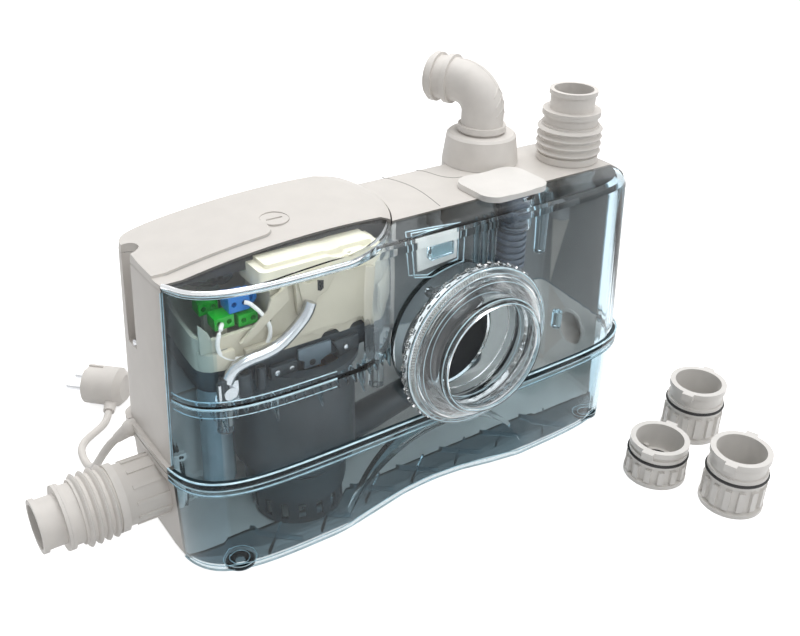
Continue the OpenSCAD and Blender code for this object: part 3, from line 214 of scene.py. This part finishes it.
# Grey for the line at the foot of the lid's raised plate: painted shadow of its step
GROOVE_SHADE = new_material("plate_groove_shade", (0.46, 0.45, 0.43), 0.6, bump=0.05, vary=0.08)
JOINT = new_material("joint_line", (0.20, 0.19, 0.18), 0.6, bump=0.05, vary=0.1)
FOOT = new_material("foot_rubber", (0.10, 0.14, 0.165), 0.35, bump=0.05, vary=0.15)
# Painted light and shade for the insides of the white shells: a lighter copy of the white as painted light, a
# mid grey as painted shade in the room, and near black as painted shade in the bay
LIT_INNER = new_material("tank_inner_wall", (0.72, 0.72, 0.70), 0.5, bump=0.08, grain=1200, vary=0.06)
INNER_SHADE = new_material("inner_wall", (0.23, 0.245, 0.25), 0.5, bump=0.08, grain=1200, vary=0.06)
BAY_SHADE = new_material("bay_inner_wall", (0.045, 0.052, 0.058), 0.5, bump=0.08, grain=1200, vary=0.2)
MOTOR_LIGHT = new_material("motor_plate", (0.10, 0.14, 0.17), 0.4, bump=0.06, grain=900, vary=0.1)

PAINT = {
    "tank_rear": WHITE, "cover_rear": WHITE, "lid_rear": WHITE, "lid_screw": WHITE, "vent_cap": LOOSE_WHITE,
    "tank_front": CLEAR_TANK, "cover_front": CLEAR, "lid_front": CLEAR, "wc_clamp_ring": CLEAR_INLET,
    "wc_sleeve": CLEAR_INLET, "air_chamber": CHAMBER, "pressure_switch": CLEAR_BLUE,
    "left_sleeve": RUBBER, "top_sleeve": RUBBER, "right_cap": RUBBER, "discharge_cap": RUBBER,
    "discharge_elbow": RUBBER, "cable_gland": RUBBER, "plug_body": RUBBER, "power_cord": RUBBER,
    "seam_gasket": SEAM_BAND, "casing_feet": FOOT, "wc_flap": BLACK, "left_flap": BLACK, "shaft_seal": BLACK,
    "pressure_hose": BLACK, "discharge_flap": BLACK, "motor_housing": MOTOR, "motor_cover": MOTOR,
    "impeller": MOTOR, "pump_volute": MOTOR, "suction_basket": MOTOR, "riser_pipe": MOTOR,
    "filter_cartridge": DARK_BLUE, "casing_screws": STEEL, "motor_bearings": STEEL, "rotor": STEEL,
    "motor_shaft": STEEL, "cutter": STEEL, "lift_handle": STEEL, "handle_bolt": STEEL, "plug_pins": STEEL,
    "stator": COPPER, "electronics_tray": BEIGE, "capacitor_box": CREAM, "control_board": BOARD,
    "terminals_green": GREEN, "terminal_blue": BLUE, "wiring": WIRE,
}
for i in (1, 2, 3):
    PAINT[f"valve_{i}_body"] = LOOSE_WHITE
    PAINT[f"valve_{i}_ring"] = BLACK
    PAINT[f"valve_{i}_flap"] = BLACK


WELD_GAP = 0.00001


def dress(obj, material, angle=32):
    """Gives a mesh its finish, welded, smooth, and split at its edges."""
    obj.data.materials.clear()
    obj.data.materials.append(material)
    weld = obj.modifiers.new("weld", "WELD")
    weld.merge_threshold = WELD_GAP
    for poly in obj.data.polygons:
        poly.use_smooth = True
    split = obj.modifiers.new("split", "EDGE_SPLIT")
    split.split_angle = math.radians(angle)


for name, obj in nodes.items():
    dress(obj, PAINT[name])


# Named sizes of the casing in millimetres, as in the model's source
CASING_L, CASING_W, CASING_H = 448, 138, 245
SEAM_Z, DECK_Z, CUT_Y = 86, 149, -22.5
COVER_TOP = CASING_H - 9
COVER_DRAFT, TANK_DRAFT, WALL_T, FLANGE_OUT = 6, 2, 3.5, 3.5
END_POWER, FRONT_POWER, REAR_POWER = 8, 3, 16
LID_CENTRE, LID_R, LID_Z = (-110, 35), 100, 238
CROWN_X, CROWN_Y, CROWN_R, CROWN_TILT, CROWN_UP = -80, 48, 700, 4.9, 13
INLET_X, INLET_Z = 18, 147
ARCH_X, ARCH_Y, ARCH_R = -3, -361.1, 308.1
FOOT_X, FOOT_Y = 186, 50
CHANNEL_X, CHANNEL_Y, CHANNEL_R = 216.5, 37, 9.4
ELBOW_AT, ELBOW_TURN, ELBOW_UP, ELBOW_BEND, ELBOW_R = (115, 48), 116, 68, 24, 18.6


def reach(x, inset):
    """How far in front of the middle the casing's outline runs at x."""
    across = abs(x) / (CASING_L / 2 - inset)
    return -(CASING_W / 2 - inset) * max(0.0, 1 - across ** END_POWER) ** (1 / FRONT_POWER)


def front_line(inset, z, steps=60):
    """Points along the clear half's outline, from its left cut edge round the front to the right one."""
    half = CASING_L / 2 - inset
    back = abs(CUT_Y) / (CASING_W / 2 - inset)
    end = half * (1 - back ** FRONT_POWER) ** (1 / END_POWER)
    turn = [math.pi * (i / steps) for i in range(steps + 1)]
    line = []
    for t in turn:
        x = -math.copysign(end * abs(math.cos(t)) ** (1 / 4), math.cos(t))
        line.append((x, min(CUT_Y, reach(x, inset)), z))
    return line


def cover_inset(z):
    """How far the cover's draft has drawn its wall in at a height."""
    return COVER_DRAFT * (z - SEAM_Z) / (COVER_TOP - SEAM_Z)


def tank_inset(z):
    """The same for the tank, whose wall draws in downwards."""
    return TANK_DRAFT * (1 - z / SEAM_Z)


def mesh_piece(name, verts, faces, material, body="casing", bevel=0.0, smooth=35):
    """A solid of points in millimetres, with rounded edges, on a body."""
    mesh = bpy.data.meshes.new(name)
    mesh.from_pydata([Vector(v) * MM for v in verts], [], faces)
    mesh.validate()
    obj = bpy.data.objects.new(name, mesh)
    bpy.context.scene.collection.objects.link(obj)
    work = bmesh.new()
    work.from_mesh(mesh)
    bmesh.ops.recalc_face_normals(work, faces=work.faces)
    work.to_mesh(mesh)
    work.free()
    if bevel:
        round_off = obj.modifiers.new("round", "BEVEL")
        round_off.width = bevel * MM
        round_off.segments = 2
        round_off.limit_method = "ANGLE"
        round_off.angle_limit = math.radians(40)
    dress(obj, material, smooth)
    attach(obj, body)
    return obj


def slab(name, outline, low, high, axis, material, body="casing", bevel=0.5):
    """An outline given in the two other directions, carried from low to high along an axis."""
    place = {"x": lambda a, b, c: (c, a, b),
             "y": lambda a, b, c: (a, c, b),
             "z": lambda a, b, c: (a, b, c)}[axis]
    n = len(outline)
    verts = [place(a, b, c) for c in (low, high) for a, b in outline]
    faces = [tuple(range(n)), tuple(range(2 * n - 1, n - 1, -1))]
    faces += [(i, (i + 1) % n, n + (i + 1) % n, n + i) for i in range(n)]
    return mesh_piece(name, verts, faces, material, body, bevel)


def post(name, x, y, z0, z1, r, material, body="casing", r_top=None, sides=32):
    """An upright round post with softened ends."""
    top = r if r_top is None else r_top
    edge = min(0.6, r * 0.3)
    levels = [(z0, r - edge), (z0 + edge, r), (z1 - edge, top), (z1, top - edge)]
    verts = [(x + q * math.cos(2 * math.pi * k / sides), y + q * math.sin(2 * math.pi * k / sides), z)
             for z, q in levels for k in range(sides)]
    faces = [tuple(range(sides)), tuple(range(3 * sides, 4 * sides))]
    for level in range(3):
        a, b = level * sides, (level + 1) * sides
        faces += [(a + k, a + (k + 1) % sides, b + (k + 1) % sides, b + k) for k in range(sides)]
    return mesh_piece(name, verts, faces, material, body)


def bead(name, points, radius, material, body="casing", cyclic=False, straight=False):
    """A round line of material along points, as on the edge of a moulding."""
    obj = curve_tube(name, points, radius, cyclic)
    obj.data.bevel_resolution = 3
    obj.data.resolution_u = 1 if straight else 3
    if straight:
        for b in obj.data.splines[0].bezier_points:
            b.handle_left_type = b.handle_right_type = "VECTOR"
    obj.data.materials.append(material)
    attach(obj, body)
    return obj


def arc(centre, r, start, end, z, steps=24):
    """Level points round a centre, from one angle to another in degrees."""
    turns = [math.radians(start + (end - start) * i / steps) for i in range(steps + 1)]
    return [(centre[0] + r * math.cos(t), centre[1] + r * math.sin(t), z) for t in turns]


def inlet_circle(r, y, steps=64):
    """Points of a circle round the axis of the toilet inlet."""
    turns = [math.radians(360 * i / steps) for i in range(steps)]
    return [(INLET_X + r * math.cos(t), y, INLET_Z + r * math.sin(t)) for t in turns]


def seam_lines():
    """Rounded lips of the two clear seam flanges, as tinted beads whose brightness is a painted highlight of
    the clear edge.
    """
    lips = [(81, 0.8), (SEAM_Z - 0.9, 0.5), (91.2, 0.8)]
    for i, (z, r) in enumerate(lips):
        bead(f"seam_lip_{i + 1}", front_line(-FLANGE_OUT + r + 0.05, z), r, EDGE_HIGHLIGHT)


def foot_line(inset, z):
    """The front line with the hollow of the arch over the toilet's foot."""
    line = []
    for x, y, _ in front_line(inset, z, 120):
        hollow = ARCH_Y + math.sqrt(ARCH_R ** 2 - (x - ARCH_X) ** 2) + inset - TANK_DRAFT
        line.append((x, max(y, hollow), z))
    return line


def shell_edges():
    """Rims of the clear tank's foot, rings over its front foot pads, and the clear cover's cut edges."""
    # Rims, rings and cut edges as tinted beads with a painted highlight
    bead("tank_foot_rim", foot_line(TANK_DRAFT + 1.0, 1.2), 0.8, EDGE_HIGHLIGHT)
    bead("tank_floor_rim", foot_line(TANK_DRAFT + 3.6, 4.2), 0.5, EDGE_HIGHLIGHT)
    ring_z, ring_end = 5.6, 345
    for i, x in enumerate((-FOOT_X, FOOT_X)):
        for j, r in enumerate((7.5, 12.6)):
            ring = arc((x, -FOOT_Y), r, 0, ring_end, ring_z)
            bead(f"foot_ring_{2 * i + j + 1}", ring, 0.35, EDGE_HIGHLIGHT, cyclic=True)
    bottom, top, edge_y = 93, COVER_TOP, CUT_Y - 0.6
    for i, side in enumerate((-1, 1)):
        for j, depth in enumerate((0.8, WALL_T - 0.6)):
            edge = [(side * (CASING_L / 2 - cover_inset(z) - depth), edge_y, z) for z in (bottom, top)]
            bead(f"cut_edge_{i * 2 + j + 1}", edge, 0.5, EDGE_HIGHLIGHT)


def lid_rim():
    """The thick clear rim round the front of the lid, in a bright chrome-like finish that paints the highlight
    where the light gathers, and a fine line below it.
    """
    rim_in, rim_z, rim_back = 2.2, LID_Z + 3.6, CUT_Y - 1.5
    rim_r, low_r, low_drop, low_out, low_front = 1.9, 0.5, 2.4, 0.2, -30
    steps, run, corner = 60, 190, 0.9985
    inset = cover_inset(LID_Z) + rim_in
    line = []
    for i in range(steps + 1):
        x = -(CASING_L / 2 - inset) * corner + (i / steps) * run
        y = min(rim_back, reach(x, inset))
        off = math.hypot(x - LID_CENTRE[0], y - LID_CENTRE[1])
        if x > LID_CENTRE[0] and off > LID_R - rim_in:
            break
        line.append((x, y, rim_z))
    first = math.degrees(math.atan2(line[-1][1] - LID_CENTRE[1], line[-1][0] - LID_CENTRE[0]))
    last = math.degrees(math.asin((rim_back - LID_CENTRE[1]) / (LID_R - rim_in)))
    line += arc(LID_CENTRE, LID_R - rim_in, first + 2, last, rim_z)
    low_line = [(x, y - low_out if y < low_front else y, z - low_drop) for x, y, z in line]
    bead("lid_clear_rim", line, rim_r, RIM_HIGHLIGHT, "lid")
    bead("lid_clear_rim_low", low_line, low_r, EDGE_HIGHLIGHT, "lid")


def lid_height(x, y):
    """Height of the lid's crown, which falls to the front and to both ends."""
    fall = (CROWN_Y - y) * math.tan(math.radians(CROWN_TILT))
    return CASING_H + CROWN_UP - fall - CROWN_R + math.sqrt(CROWN_R * CROWN_R - (x - CROWN_X) ** 2)


def plate_groove_shade():
    """Soft groove along the foot of the raised plate on the lid, drawn as a grey bead of painted shadow from
    the plate's step.
    """
    start, end, low, high, r, step = -214, -122, -10, 33, 9, 8
    outline = [(x, low) for x in range(start, end - r, step)]
    outline += [(x, y) for x, y, _ in arc((end - r, low + r), r, -90, 0, 0, 6)]
    outline += [(x, y) for x, y, _ in arc((end - r, high - r), r, 0, 90, 0, 6)]
    outline += [(x, high) for x in range(end - r - 6, start - 1, -step)]
    bead("plate_groove_shade", [(x, y, lid_height(x, y) + 0.1) for x, y in outline], 0.55, GROOVE_SHADE, "lid")


def hood_lines():
    """Fine joints on top of the hood."""
    joints = [[(16, 57), (20, 50), (24.8, 34), (26, 20), (25, 5.8), (21, -18.5)],
              [(51, 57), (56, 48), (60.3, 33.8), (67, 25), (76, 22)]]
    for i, points in enumerate(joints):
        bead(f"hood_joint_{i + 1}", [(x, y, CASING_H - 0.05) for x, y in points], 0.32, JOINT)


def bay_ribs():
    """Clear fins under the edge of the deck, every fifth one deeper, and the three beads along it."""
    inset = cover_inset(DECK_Z) + WALL_T + 0.6
    first_x, pitch, fins, thick, long = -205, 7.4, 24, 1.6, 9
    deep_fin, plain_fin, top = 20, 9, DECK_Z - 0.2
    bay_r, line_end = LID_R + 3, -36
    for i in range(fins):
        x = first_x + pitch * i
        y = reach(x, inset) + 0.4
        if x > LID_CENTRE[0] and math.hypot(x - LID_CENTRE[0], y - LID_CENTRE[1]) > bay_r:
            y = LID_CENTRE[1] - math.sqrt(max(0, bay_r ** 2 - (x - LID_CENTRE[0]) ** 2))
        deep = deep_fin if i % 5 == 2 else plain_fin
        outline = [(y, DECK_Z - deep), (y + long, DECK_Z - deep * 0.6), (y + long, top), (y, top)]
        slab(f"deck_fin_{i + 1}", outline, x, x + thick, "x", CLEAR_FIN, bevel=0.25)
    # Beads along the deck's edge: edge tint with a painted highlight
    for i, (z, r) in enumerate([(DECK_Z + 6.5, 0.5), (DECK_Z + 0.5, 0.7), (DECK_Z - 7, 0.4)]):
        bead(f"deck_line_{i + 1}", [p for p in front_line(inset + 0.9, z) if p[0] < line_end], r, EDGE_HIGHLIGHT)


def floor_ribs():
    """Crossed clear ribs on the tank's floor in front, shorter behind the arch."""
    first_x, pitch, crosses, half_w, half_t = -150, 48, 7, 15, 0.8
    front, back, arch_left, arch_right, arch_in = -58, -25, -100, 95, 9
    for i in range(crosses):
        x = first_x + pitch * i
        near = front + (arch_in if arch_left < x < arch_right else 0)
        for j, way in enumerate((1, -1)):
            a, b = (x - way * half_w, near), (x + way * half_w, back)
            dx, dy = b[0] - a[0], b[1] - a[1]
            n = half_t / math.hypot(dx, dy)
            outline = [(a[0] - dy * n, a[1] + dx * n), (a[0] + dy * n, a[1] - dx * n),
                       (b[0] + dy * n, b[1] - dx * n), (b[0] - dy * n, b[1] + dx * n)]
            slab(f"floor_rib_{2 * i + j + 1}", outline, WALL_T + 0.1, WALL_T + 5 + j * 0.4, "z", CLEAR_FIN,
                 bevel=0.3)


def cover_fittings():
    """Clear latch box beside the bay, upright ribs and bosses inside the clear cover."""
    frame_line = [(-26, 241), (26, 238), (26, 206), (-4, 200), (-22, 204)]
    # Latch box edges as tinted beads with a painted highlight
    for i, y in enumerate((-45, -38)):
        bead(f"latch_line_{i + 1}", [(x, y, z - i * 1.5) for x, z in frame_line], 0.6, EDGE_HIGHLIGHT, cyclic=True,
             straight=True)
    slab("latch_plate", [(-20, 237), (20, 235), (20, 210), (-18, 207)], -44, -42.5, "y", FROSTED)
    slab("latch_step", [(-10, 229), (12, 228), (12, 218), (-10, 217)], -50, -44.2, "y", CLEAR_FIN)
    for i, x in enumerate((36, 44, 52)):
        slab(f"upright_rib_{i + 1}", [(x, 241), (x + 1.4, 241), (x + 1.4, 205), (x, 200)], -52, -44, "y",
             CLEAR_FIN, bevel=0.3)
    bosses = [(124, -30, 182, 240, 5), (147, 30, 205, 241, 6), (60, 40, 190, 241, 6)]
    for i, (x, y, z0, z1, r) in enumerate(bosses):
        # Bosses behind the cut line get the grey painted shade of the inner wall instead of white
        post(f"hood_boss_{i + 1}", x, y, z0, z1, r, INNER_SHADE if y > CUT_Y else CLEAR_FIN, r_top=r + 0.8)
    post("wall_boss", 152, -33, 100, 116, 4.5, CLEAR_FIN)


def inlet_details():
    """Rings of the clear inlet, the last one inside its throat, as tinted beads with a painted highlight, and
    its fine toothing.
    """
    rings = [(67.6, -80.5, 0.6), (64.5, -84, 0.3), (59, -87.4, 0.3), (49.6, -98.6, 0.5), (46.6, -101.0, 0.45),
             (45.2, -80, 0.35)]
    for i, (r, y, thick) in enumerate(rings):
        bead(f"inlet_ring_{i + 1}", inlet_circle(r, y), thick, EDGE_HIGHLIGHT, cyclic=True)
    teeth, start, sweep = 56, 88, 124
    foot, tip, half_w, front, back = 60.3, 66.5, 0.7, -79.2, -77.6
    for i in range(teeth):
        t = math.radians(start + sweep * i / teeth)
        a, b = (math.cos(t), math.sin(t)), (-math.sin(t), math.cos(t))
        outline = [(INLET_X + q * a[0] + w * b[0], INLET_Z + q * a[1] + w * b[1])
                   for q, w in ((foot, -half_w), (tip, -half_w), (tip, half_w), (foot, half_w))]
        slab(f"inlet_tooth_{i + 1}", outline, front, back, "y", FROSTED, bevel=0.2)


def tray_details():
    """Front of the electronics tray: scalloped panel with its relief, ramp, pocket and round bulge; the hole in
    the relief and the slot are black sheets of painted shade, and the pocket's floor is a grey sheet of painted
    shade.
    """
    front, back = -46.6, -42.1
    panel = [(-127.5, 232), (-125.5, 204), (-121, 189), (-168, 186.5), (-168, 177), (-143.5, 175.2),
             (-142.7, 179.8), (-136, 184.3), (-130, 183.4), (-125.5, 182.3), (-119, 183.8), (-114.8, 183.6),
             (-110, 181), (-106.7, 180.3), (-100, 182), (-95.6, 185.1), (-90, 184.6), (-84.4, 183),
             (-79, 184.4), (-74.5, 184.8), (-68, 183.5), (-65.5, 178), (-64, 184), (-62, 186), (-62, 226),
             (-75, 229), (-92, 231)]
    slab("tray_panel", panel, front, back, "y", BEIGE, bevel=0.7)
    relief = [(-126.3, 231.5), (-124, 228.5), (-117, 226.2), (-103, 228), (-97.5, 231), (-94, 230.6),
              (-101.3, 217), (-110.1, 213), (-115.4, 203.4), (-120.4, 204.2)]
    slab("tray_relief", relief, front - 1.8, front + 0.2, "y", BEIGE, bevel=0.5)
    # Black sheet in the relief's hole: painted shade
    slab("tray_relief_hole_shade", [(-110, 227), (-105, 226), (-105, 219.5), (-107.5, 217.8), (-110, 219)],
         front - 2.0, front - 1.4, "y", BLACK, bevel=0.1)
    pitch, top, foot = 4.2, 236, 229.5
    for i in range(4):
        x = -115 + pitch * i
        outline = [(x, top), (x + 2, top), (x + 1.6, foot), (x + 0.4, foot)]
        slab(f"tray_tooth_{i + 1}", outline, front - 1.6, front + 0.4, "y", CREAM, bevel=0.3)
    # Black sheet in the slot: painted shade
    slab("tray_slot_shade", [(-160, 182.2), (-153, 180.6), (-153, 177.4), (-160, 179)], front - 0.15, front + 0.3,
         "y", BLACK, bevel=0.05)
    ramp = [(-133, 227), (-146, 221), (-149, 212), (-172, 193), (-166, 191), (-147, 205), (-132, 216)]
    slab("tray_ramp", ramp, -46.2, -43.6, "y", BEIGE, bevel=0.5)
    pocket = [(-199.5, -30), (-176, -30), (-176, -46.4), (-186, -46.4), (-195, -44), (-199.5, -38)]
    slab("tray_pocket", pocket, 176, 190, "z", BEIGE, bevel=0.8)
    pocket_back = [(-199.5, 190), (-187, 190), (-193, 206), (-199.5, 214)]
    slab("tray_pocket_back", pocket_back, -41, -38.6, "y", BEIGE, bevel=0.5)
    # Grey sheet on the pocket's floor: painted shade
    pocket_shade = [(-196, -33.5), (-180, -33.5), (-180, -42.6), (-188, -42.6), (-194.5, -40)]
    slab("tray_pocket_shade", pocket_shade, 189.9, 190.2, "z", INNER_SHADE, bevel=0.05)
    levels = [(184.5, 97.2), (184.5, 99.2), (203, 99.4), (206.5, 98.6), (208.5, 97.2)]
    verts, faces, steps, start, sweep = [], [], 26, -57, 62
    for k in range(steps + 1):
        t = math.radians(start + sweep * k / steps)
        verts += [(LID_CENTRE[0] + r * math.cos(t), LID_CENTRE[1] + r * math.sin(t), z) for z, r in levels]
    m = len(levels)
    for k in range(steps):
        a, b = k * m, (k + 1) * m
        faces += [(a + j, a + (j + 1) % m, b + (j + 1) % m, b + j) for j in range(m)]
    faces += [tuple(range(m)), tuple(range(steps * m, steps * m + m))]
    mesh_piece("tray_bulge", verts, faces, BEIGE)


def motor_details():
    """Posts, plates and bolt heads on the front of the motor's cover and flange, with black discs of painted
    shade in the posts' bores and the plate's hole.
    """
    post_y, post_foot, post_top = -49.5, DECK_Z + 5.2, 172.5
    for i, (x, r) in enumerate([(-188, 4), (-172.5, 6), (-159, 3.6), (-62, 4.5)]):
        post(f"motor_post_{i + 1}", x, post_y, post_foot, post_top, r, MOTOR)
        # Black disc in the post's bore: painted shade
        post(f"motor_post_bore_shade_{i + 1}", x, post_y, post_top - 0.2, post_top + 0.4, r * 0.6, BLACK)
    plate = [(-126, 172.5), (-98, 172.5), (-98, 162), (-107, 158), (-107.4, 154.6), (-121.5, 154.6),
             (-121, 161), (-126, 164)]
    slab("motor_plate", plate, -46.4, -44, "y", MOTOR_LIGHT, bevel=0.4)

    def disc(x, z, r, sides=20):
        turns = [2 * math.pi * k / sides for k in range(sides)]
        return [(x + r * math.cos(t), z + r * math.sin(t)) for t in turns]

    # Black disc in the plate's hole: painted shade
    slab("motor_plate_hole_shade", disc(-114.5, 159, 2.6), -46.7, -46.2, "y", BLACK, bevel=0.05)
    bridge = [(-150, 166), (-128, 166), (-128, 155.5), (-150, 155.5)]
    slab("motor_bridge", bridge, -48, -43, "y", MOTOR, bevel=0.8)
    bridge_2 = [(-96, 170), (-72, 170), (-72, 158), (-90, 156)]
    slab("motor_bridge_2", bridge_2, -46.5, -43, "y", MOTOR, bevel=0.8)
    for i, (x, z) in enumerate([(-145, 161), (-133, 161), (-86, 164)]):
        slab(f"motor_bolt_{i + 1}", disc(x, z, 2.2), -48.9, -46, "y", STEEL, bevel=0.3)


def tray_screws():
    """Heads of the two screws that hold the tray."""
    for i, (x, y) in enumerate([(-120, -38), (-70, -36)]):
        post(f"tray_screw_{i + 1}", x, y, 225.7, 227.6, 2.6, STEEL)


def elbow_marks():
    """Mould line along the outside of the discharge elbow and three raised flow arrows on it."""
    turn, bend, r, arm_z = math.radians(ELBOW_TURN), ELBOW_BEND, ELBOW_R, CASING_H + ELBOW_UP
    line_foot, arrow_half, arrow_slant = CASING_H + 30, 26, 0.35

    def place(x, y, z):
        return (ELBOW_AT[0] + x * math.cos(turn) - y * math.sin(turn),
                ELBOW_AT[1] + x * math.sin(turn) + y * math.cos(turn), z)

    def on_bend(along, round_about):
        a, f = math.radians(along), math.radians(round_about)
        out = bend + r * math.cos(f)
        return place(bend - out * math.cos(a), r * math.sin(f), arm_z - bend + out * math.sin(a))

    line = [place(-r, 0, line_foot)] + [on_bend(a, 0) for a in range(0, 91, 10)]
    bead("elbow_mould_line", line, 0.35, RUBBER, "outlet_elbow")
    for i, a in enumerate((8, 20, 32)):
        mark = [on_bend(a - abs(f) * arrow_slant, f)
                for f in range(-arrow_half, arrow_half + 1, arrow_half // 2)]
        bead(f"elbow_arrow_{i + 1}", mark, 0.6, RUBBER, "outlet_elbow", straight=True)


def lid_edge_shadow():
    """Black strip along the cut edge of the opaque lid: painted shadow of the dark gap under the lid."""
    outline = [(-214, 233.5), (-28, 233.5), (-28, 240.8), (-60, 246.5), (-110, 247.4), (-160, 243.6),
               (-214, 237.6)]
    slab("lid_edge_shadow", outline, CUT_Y + 4.3, CUT_Y + 3.5, "y", BLACK, "lid", bevel=0.1)


def shade_inside(name, outer_inset, top, inner):
    """Paints light and shade onto the faces inside an opaque shell: the given inner colour in the room,
    near-black painted shade in the bay, and a lighter painted light at the left end below the deck; the cut
    faces stay white.
    """
    obj = nodes[name]
    for finish in (inner, BAY_SHADE, LIT_INNER):
        obj.data.materials.append(finish)
    room, bay, left_end = 1, 2, 3
    bay_floor, bay_r, left_x = DECK_Z + 4, LID_R + 2, -190
    for poly in obj.data.polygons:
        x, y, z = (v / MM for v in poly.center)
        inset = outer_inset(z) + WALL_T / 2
        power = REAR_POWER if y > 0 else END_POWER
        depth = REAR_POWER if y > 0 else FRONT_POWER
        if math.hypot(abs(x) - CHANNEL_X, y - CHANNEL_Y) < CHANNEL_R:
            continue
        across, deep = abs(x) / (CASING_L / 2 - inset), abs(y) / (CASING_W / 2 - inset)
        if across ** power + deep ** depth >= 1 or y <= CUT_Y + 0.2:
            continue
        if not WALL_T / 2 < z < top - WALL_T / 2:
            continue
        beside_bay = x > LID_CENTRE[0] and math.hypot(x - LID_CENTRE[0], y - LID_CENTRE[1]) >= bay_r
        if z > bay_floor and not beside_bay:
            poly.material_index = bay
        else:
            poly.material_index = left_end if x < left_x and z < DECK_Z else room


def thin_bay_wall():
    """The clear wall round the bay is so thin and near that it hardly shows."""
    obj = nodes["cover_front"]
    obj.data.materials.append(THIN)
    wall_r, reach_r, foot_z, front_y = LID_R + 1.8, 2.3, DECK_Z + 4.5, -60
    for poly in obj.data.polygons:
        x, y, z = (v / MM for v in poly.center)
        off = math.hypot(x - LID_CENTRE[0], y - LID_CENTRE[1])
        if abs(off - wall_r) < reach_r and foot_z < z < LID_Z and x > LID_CENTRE[0] and y > front_y:
            poly.material_index = 1


def tint_ends():
    """The clear shells show their colour in their end walls; the tank's floor faces get a near-black clear,
    painted shade under the tank.
    """
    end_x, end_turn, floor_top, floor_turn = 190 * MM, 0.45, 5.5 * MM, 0.7
    for name, index in (("cover_front", 2), ("tank_front", 1)):
        obj = nodes[name]
        obj.data.materials.append(CLEAR_END)
        for poly in obj.data.polygons:
            if abs(poly.normal.x) > end_turn and abs(poly.center.x) > end_x and poly.material_index == 0:
                poly.material_index = index
    # Painted shade on the floor faces of the tank
    obj = nodes["tank_front"]
    obj.data.materials.append(CLEAR_FLOOR_SHADE)
    for poly in obj.data.polygons:
        if poly.center.z < floor_top and abs(poly.normal.z) > floor_turn:
            poly.material_index = 2


OPEN_TOP = 1000
thin_bay_wall()
# Paints shade onto the inside of the cover, and lighter painted light onto the inside of the tank
shade_inside("cover_rear", cover_inset, CASING_H, INNER_SHADE)
shade_inside("tank_rear", tank_inset, OPEN_TOP, LIT_INNER)
tint_ends()
seam_lines()
shell_edges()
lid_rim()
plate_groove_shade()
hood_lines()
bay_ribs()
floor_ribs()
cover_fittings()
inlet_details()
tray_details()
motor_details()
tray_screws()
lid_edge_shadow()
elbow_marks()

cord.data.materials.append(RUBBER)
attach(cord, "casing")
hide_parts("power_cord")


# Stage and light: metres, watts, and strengths at which white shows as white
FLOOR_HALF, FLOOR_GREY, FLOOR_GLOW = 30, 0.64, 0.80
SKY_LIGHT, SKY_SEEN = 0.32, 1.0
LIT_POINT = (0, 0, 0.1)
LAMPS = [("key", (-0.35, -1.7, 2.0), 1.2, 15), ("top", (0.4, 0.3, 2.2), 1.6, 32),
         ("side", (1.8, -1.4, 1.0), 1.0, 7), ("rear", (-0.6, 1.9, 1.5), 1.2, 10)]


def seen_ray(nt):
    """1 for what the camera sees, also through glass and in gloss, and 0 for what lights the object."""
    path = nt.nodes.new("ShaderNodeLightPath")
    last = path.outputs["Is Camera Ray"]
    for kind in ("Is Transmission Ray", "Is Glossy Ray"):
        either = nt.nodes.new("ShaderNodeMath")
        either.operation = "MAXIMUM"
        nt.links.new(last, either.inputs[0])
        nt.links.new(path.outputs[kind], either.inputs[1])
        last = either.outputs[0]
    return last


def make_floor():
    half = FLOOR_HALF
    floor_mesh = bpy.data.meshes.new("floor")
    corners = [(-half, -half, 0), (half, -half, 0), (half, half, 0), (-half, half, 0)]
    floor_mesh.from_pydata(corners, [], [(0, 1, 2, 3)])
    floor = bpy.data.objects.new("floor", floor_mesh)
    bpy.context.scene.collection.objects.link(floor)
    m = bpy.data.materials.new("floor")
    m.use_nodes = True
    nt = m.node_tree
    b = nt.nodes["Principled BSDF"]
    b.inputs["Base Color"].default_value = (FLOOR_GREY, FLOOR_GREY, FLOOR_GREY, 1)
    b.inputs["Roughness"].default_value = 0.9
    b.inputs["Specular IOR Level"].default_value = 0.0
    b.inputs["Emission Color"].default_value = (1, 1, 1, 1)
    glow = nt.nodes.new("ShaderNodeMath")
    glow.operation = "MULTIPLY"
    glow.inputs[1].default_value = FLOOR_GLOW
    nt.links.new(seen_ray(nt), glow.inputs[0])
    nt.links.new(glow.outputs[0], b.inputs["Emission Strength"])
    floor.data.materials.append(m)


def make_world():
    world = bpy.data.worlds.new("world")
    bpy.context.scene.world = world
    world.use_nodes = True
    nt = world.node_tree
    background = nt.nodes["Background"]
    background.inputs["Color"].default_value = (1, 1, 1, 1)
    mix = nt.nodes.new("ShaderNodeMapRange")
    mix.inputs["To Min"].default_value = SKY_LIGHT
    mix.inputs["To Max"].default_value = SKY_SEEN
    nt.links.new(seen_ray(nt), mix.inputs["Value"])
    nt.links.new(mix.outputs["Result"], background.inputs["Strength"])


def make_lamps():
    for name, place, size, power in LAMPS:
        data = bpy.data.lights.new(name, "AREA")
        data.size = size
        data.energy = power
        lamp = bpy.data.objects.new(name, data)
        bpy.context.scene.collection.objects.link(lamp)
        lamp.location = place
        lamp.rotation_euler = (Vector(LIT_POINT) - Vector(place)).to_track_quat("-Z", "Y").to_euler()


make_floor()
make_world()
make_lamps()
bpy.context.scene.view_settings.view_transform = "Standard"
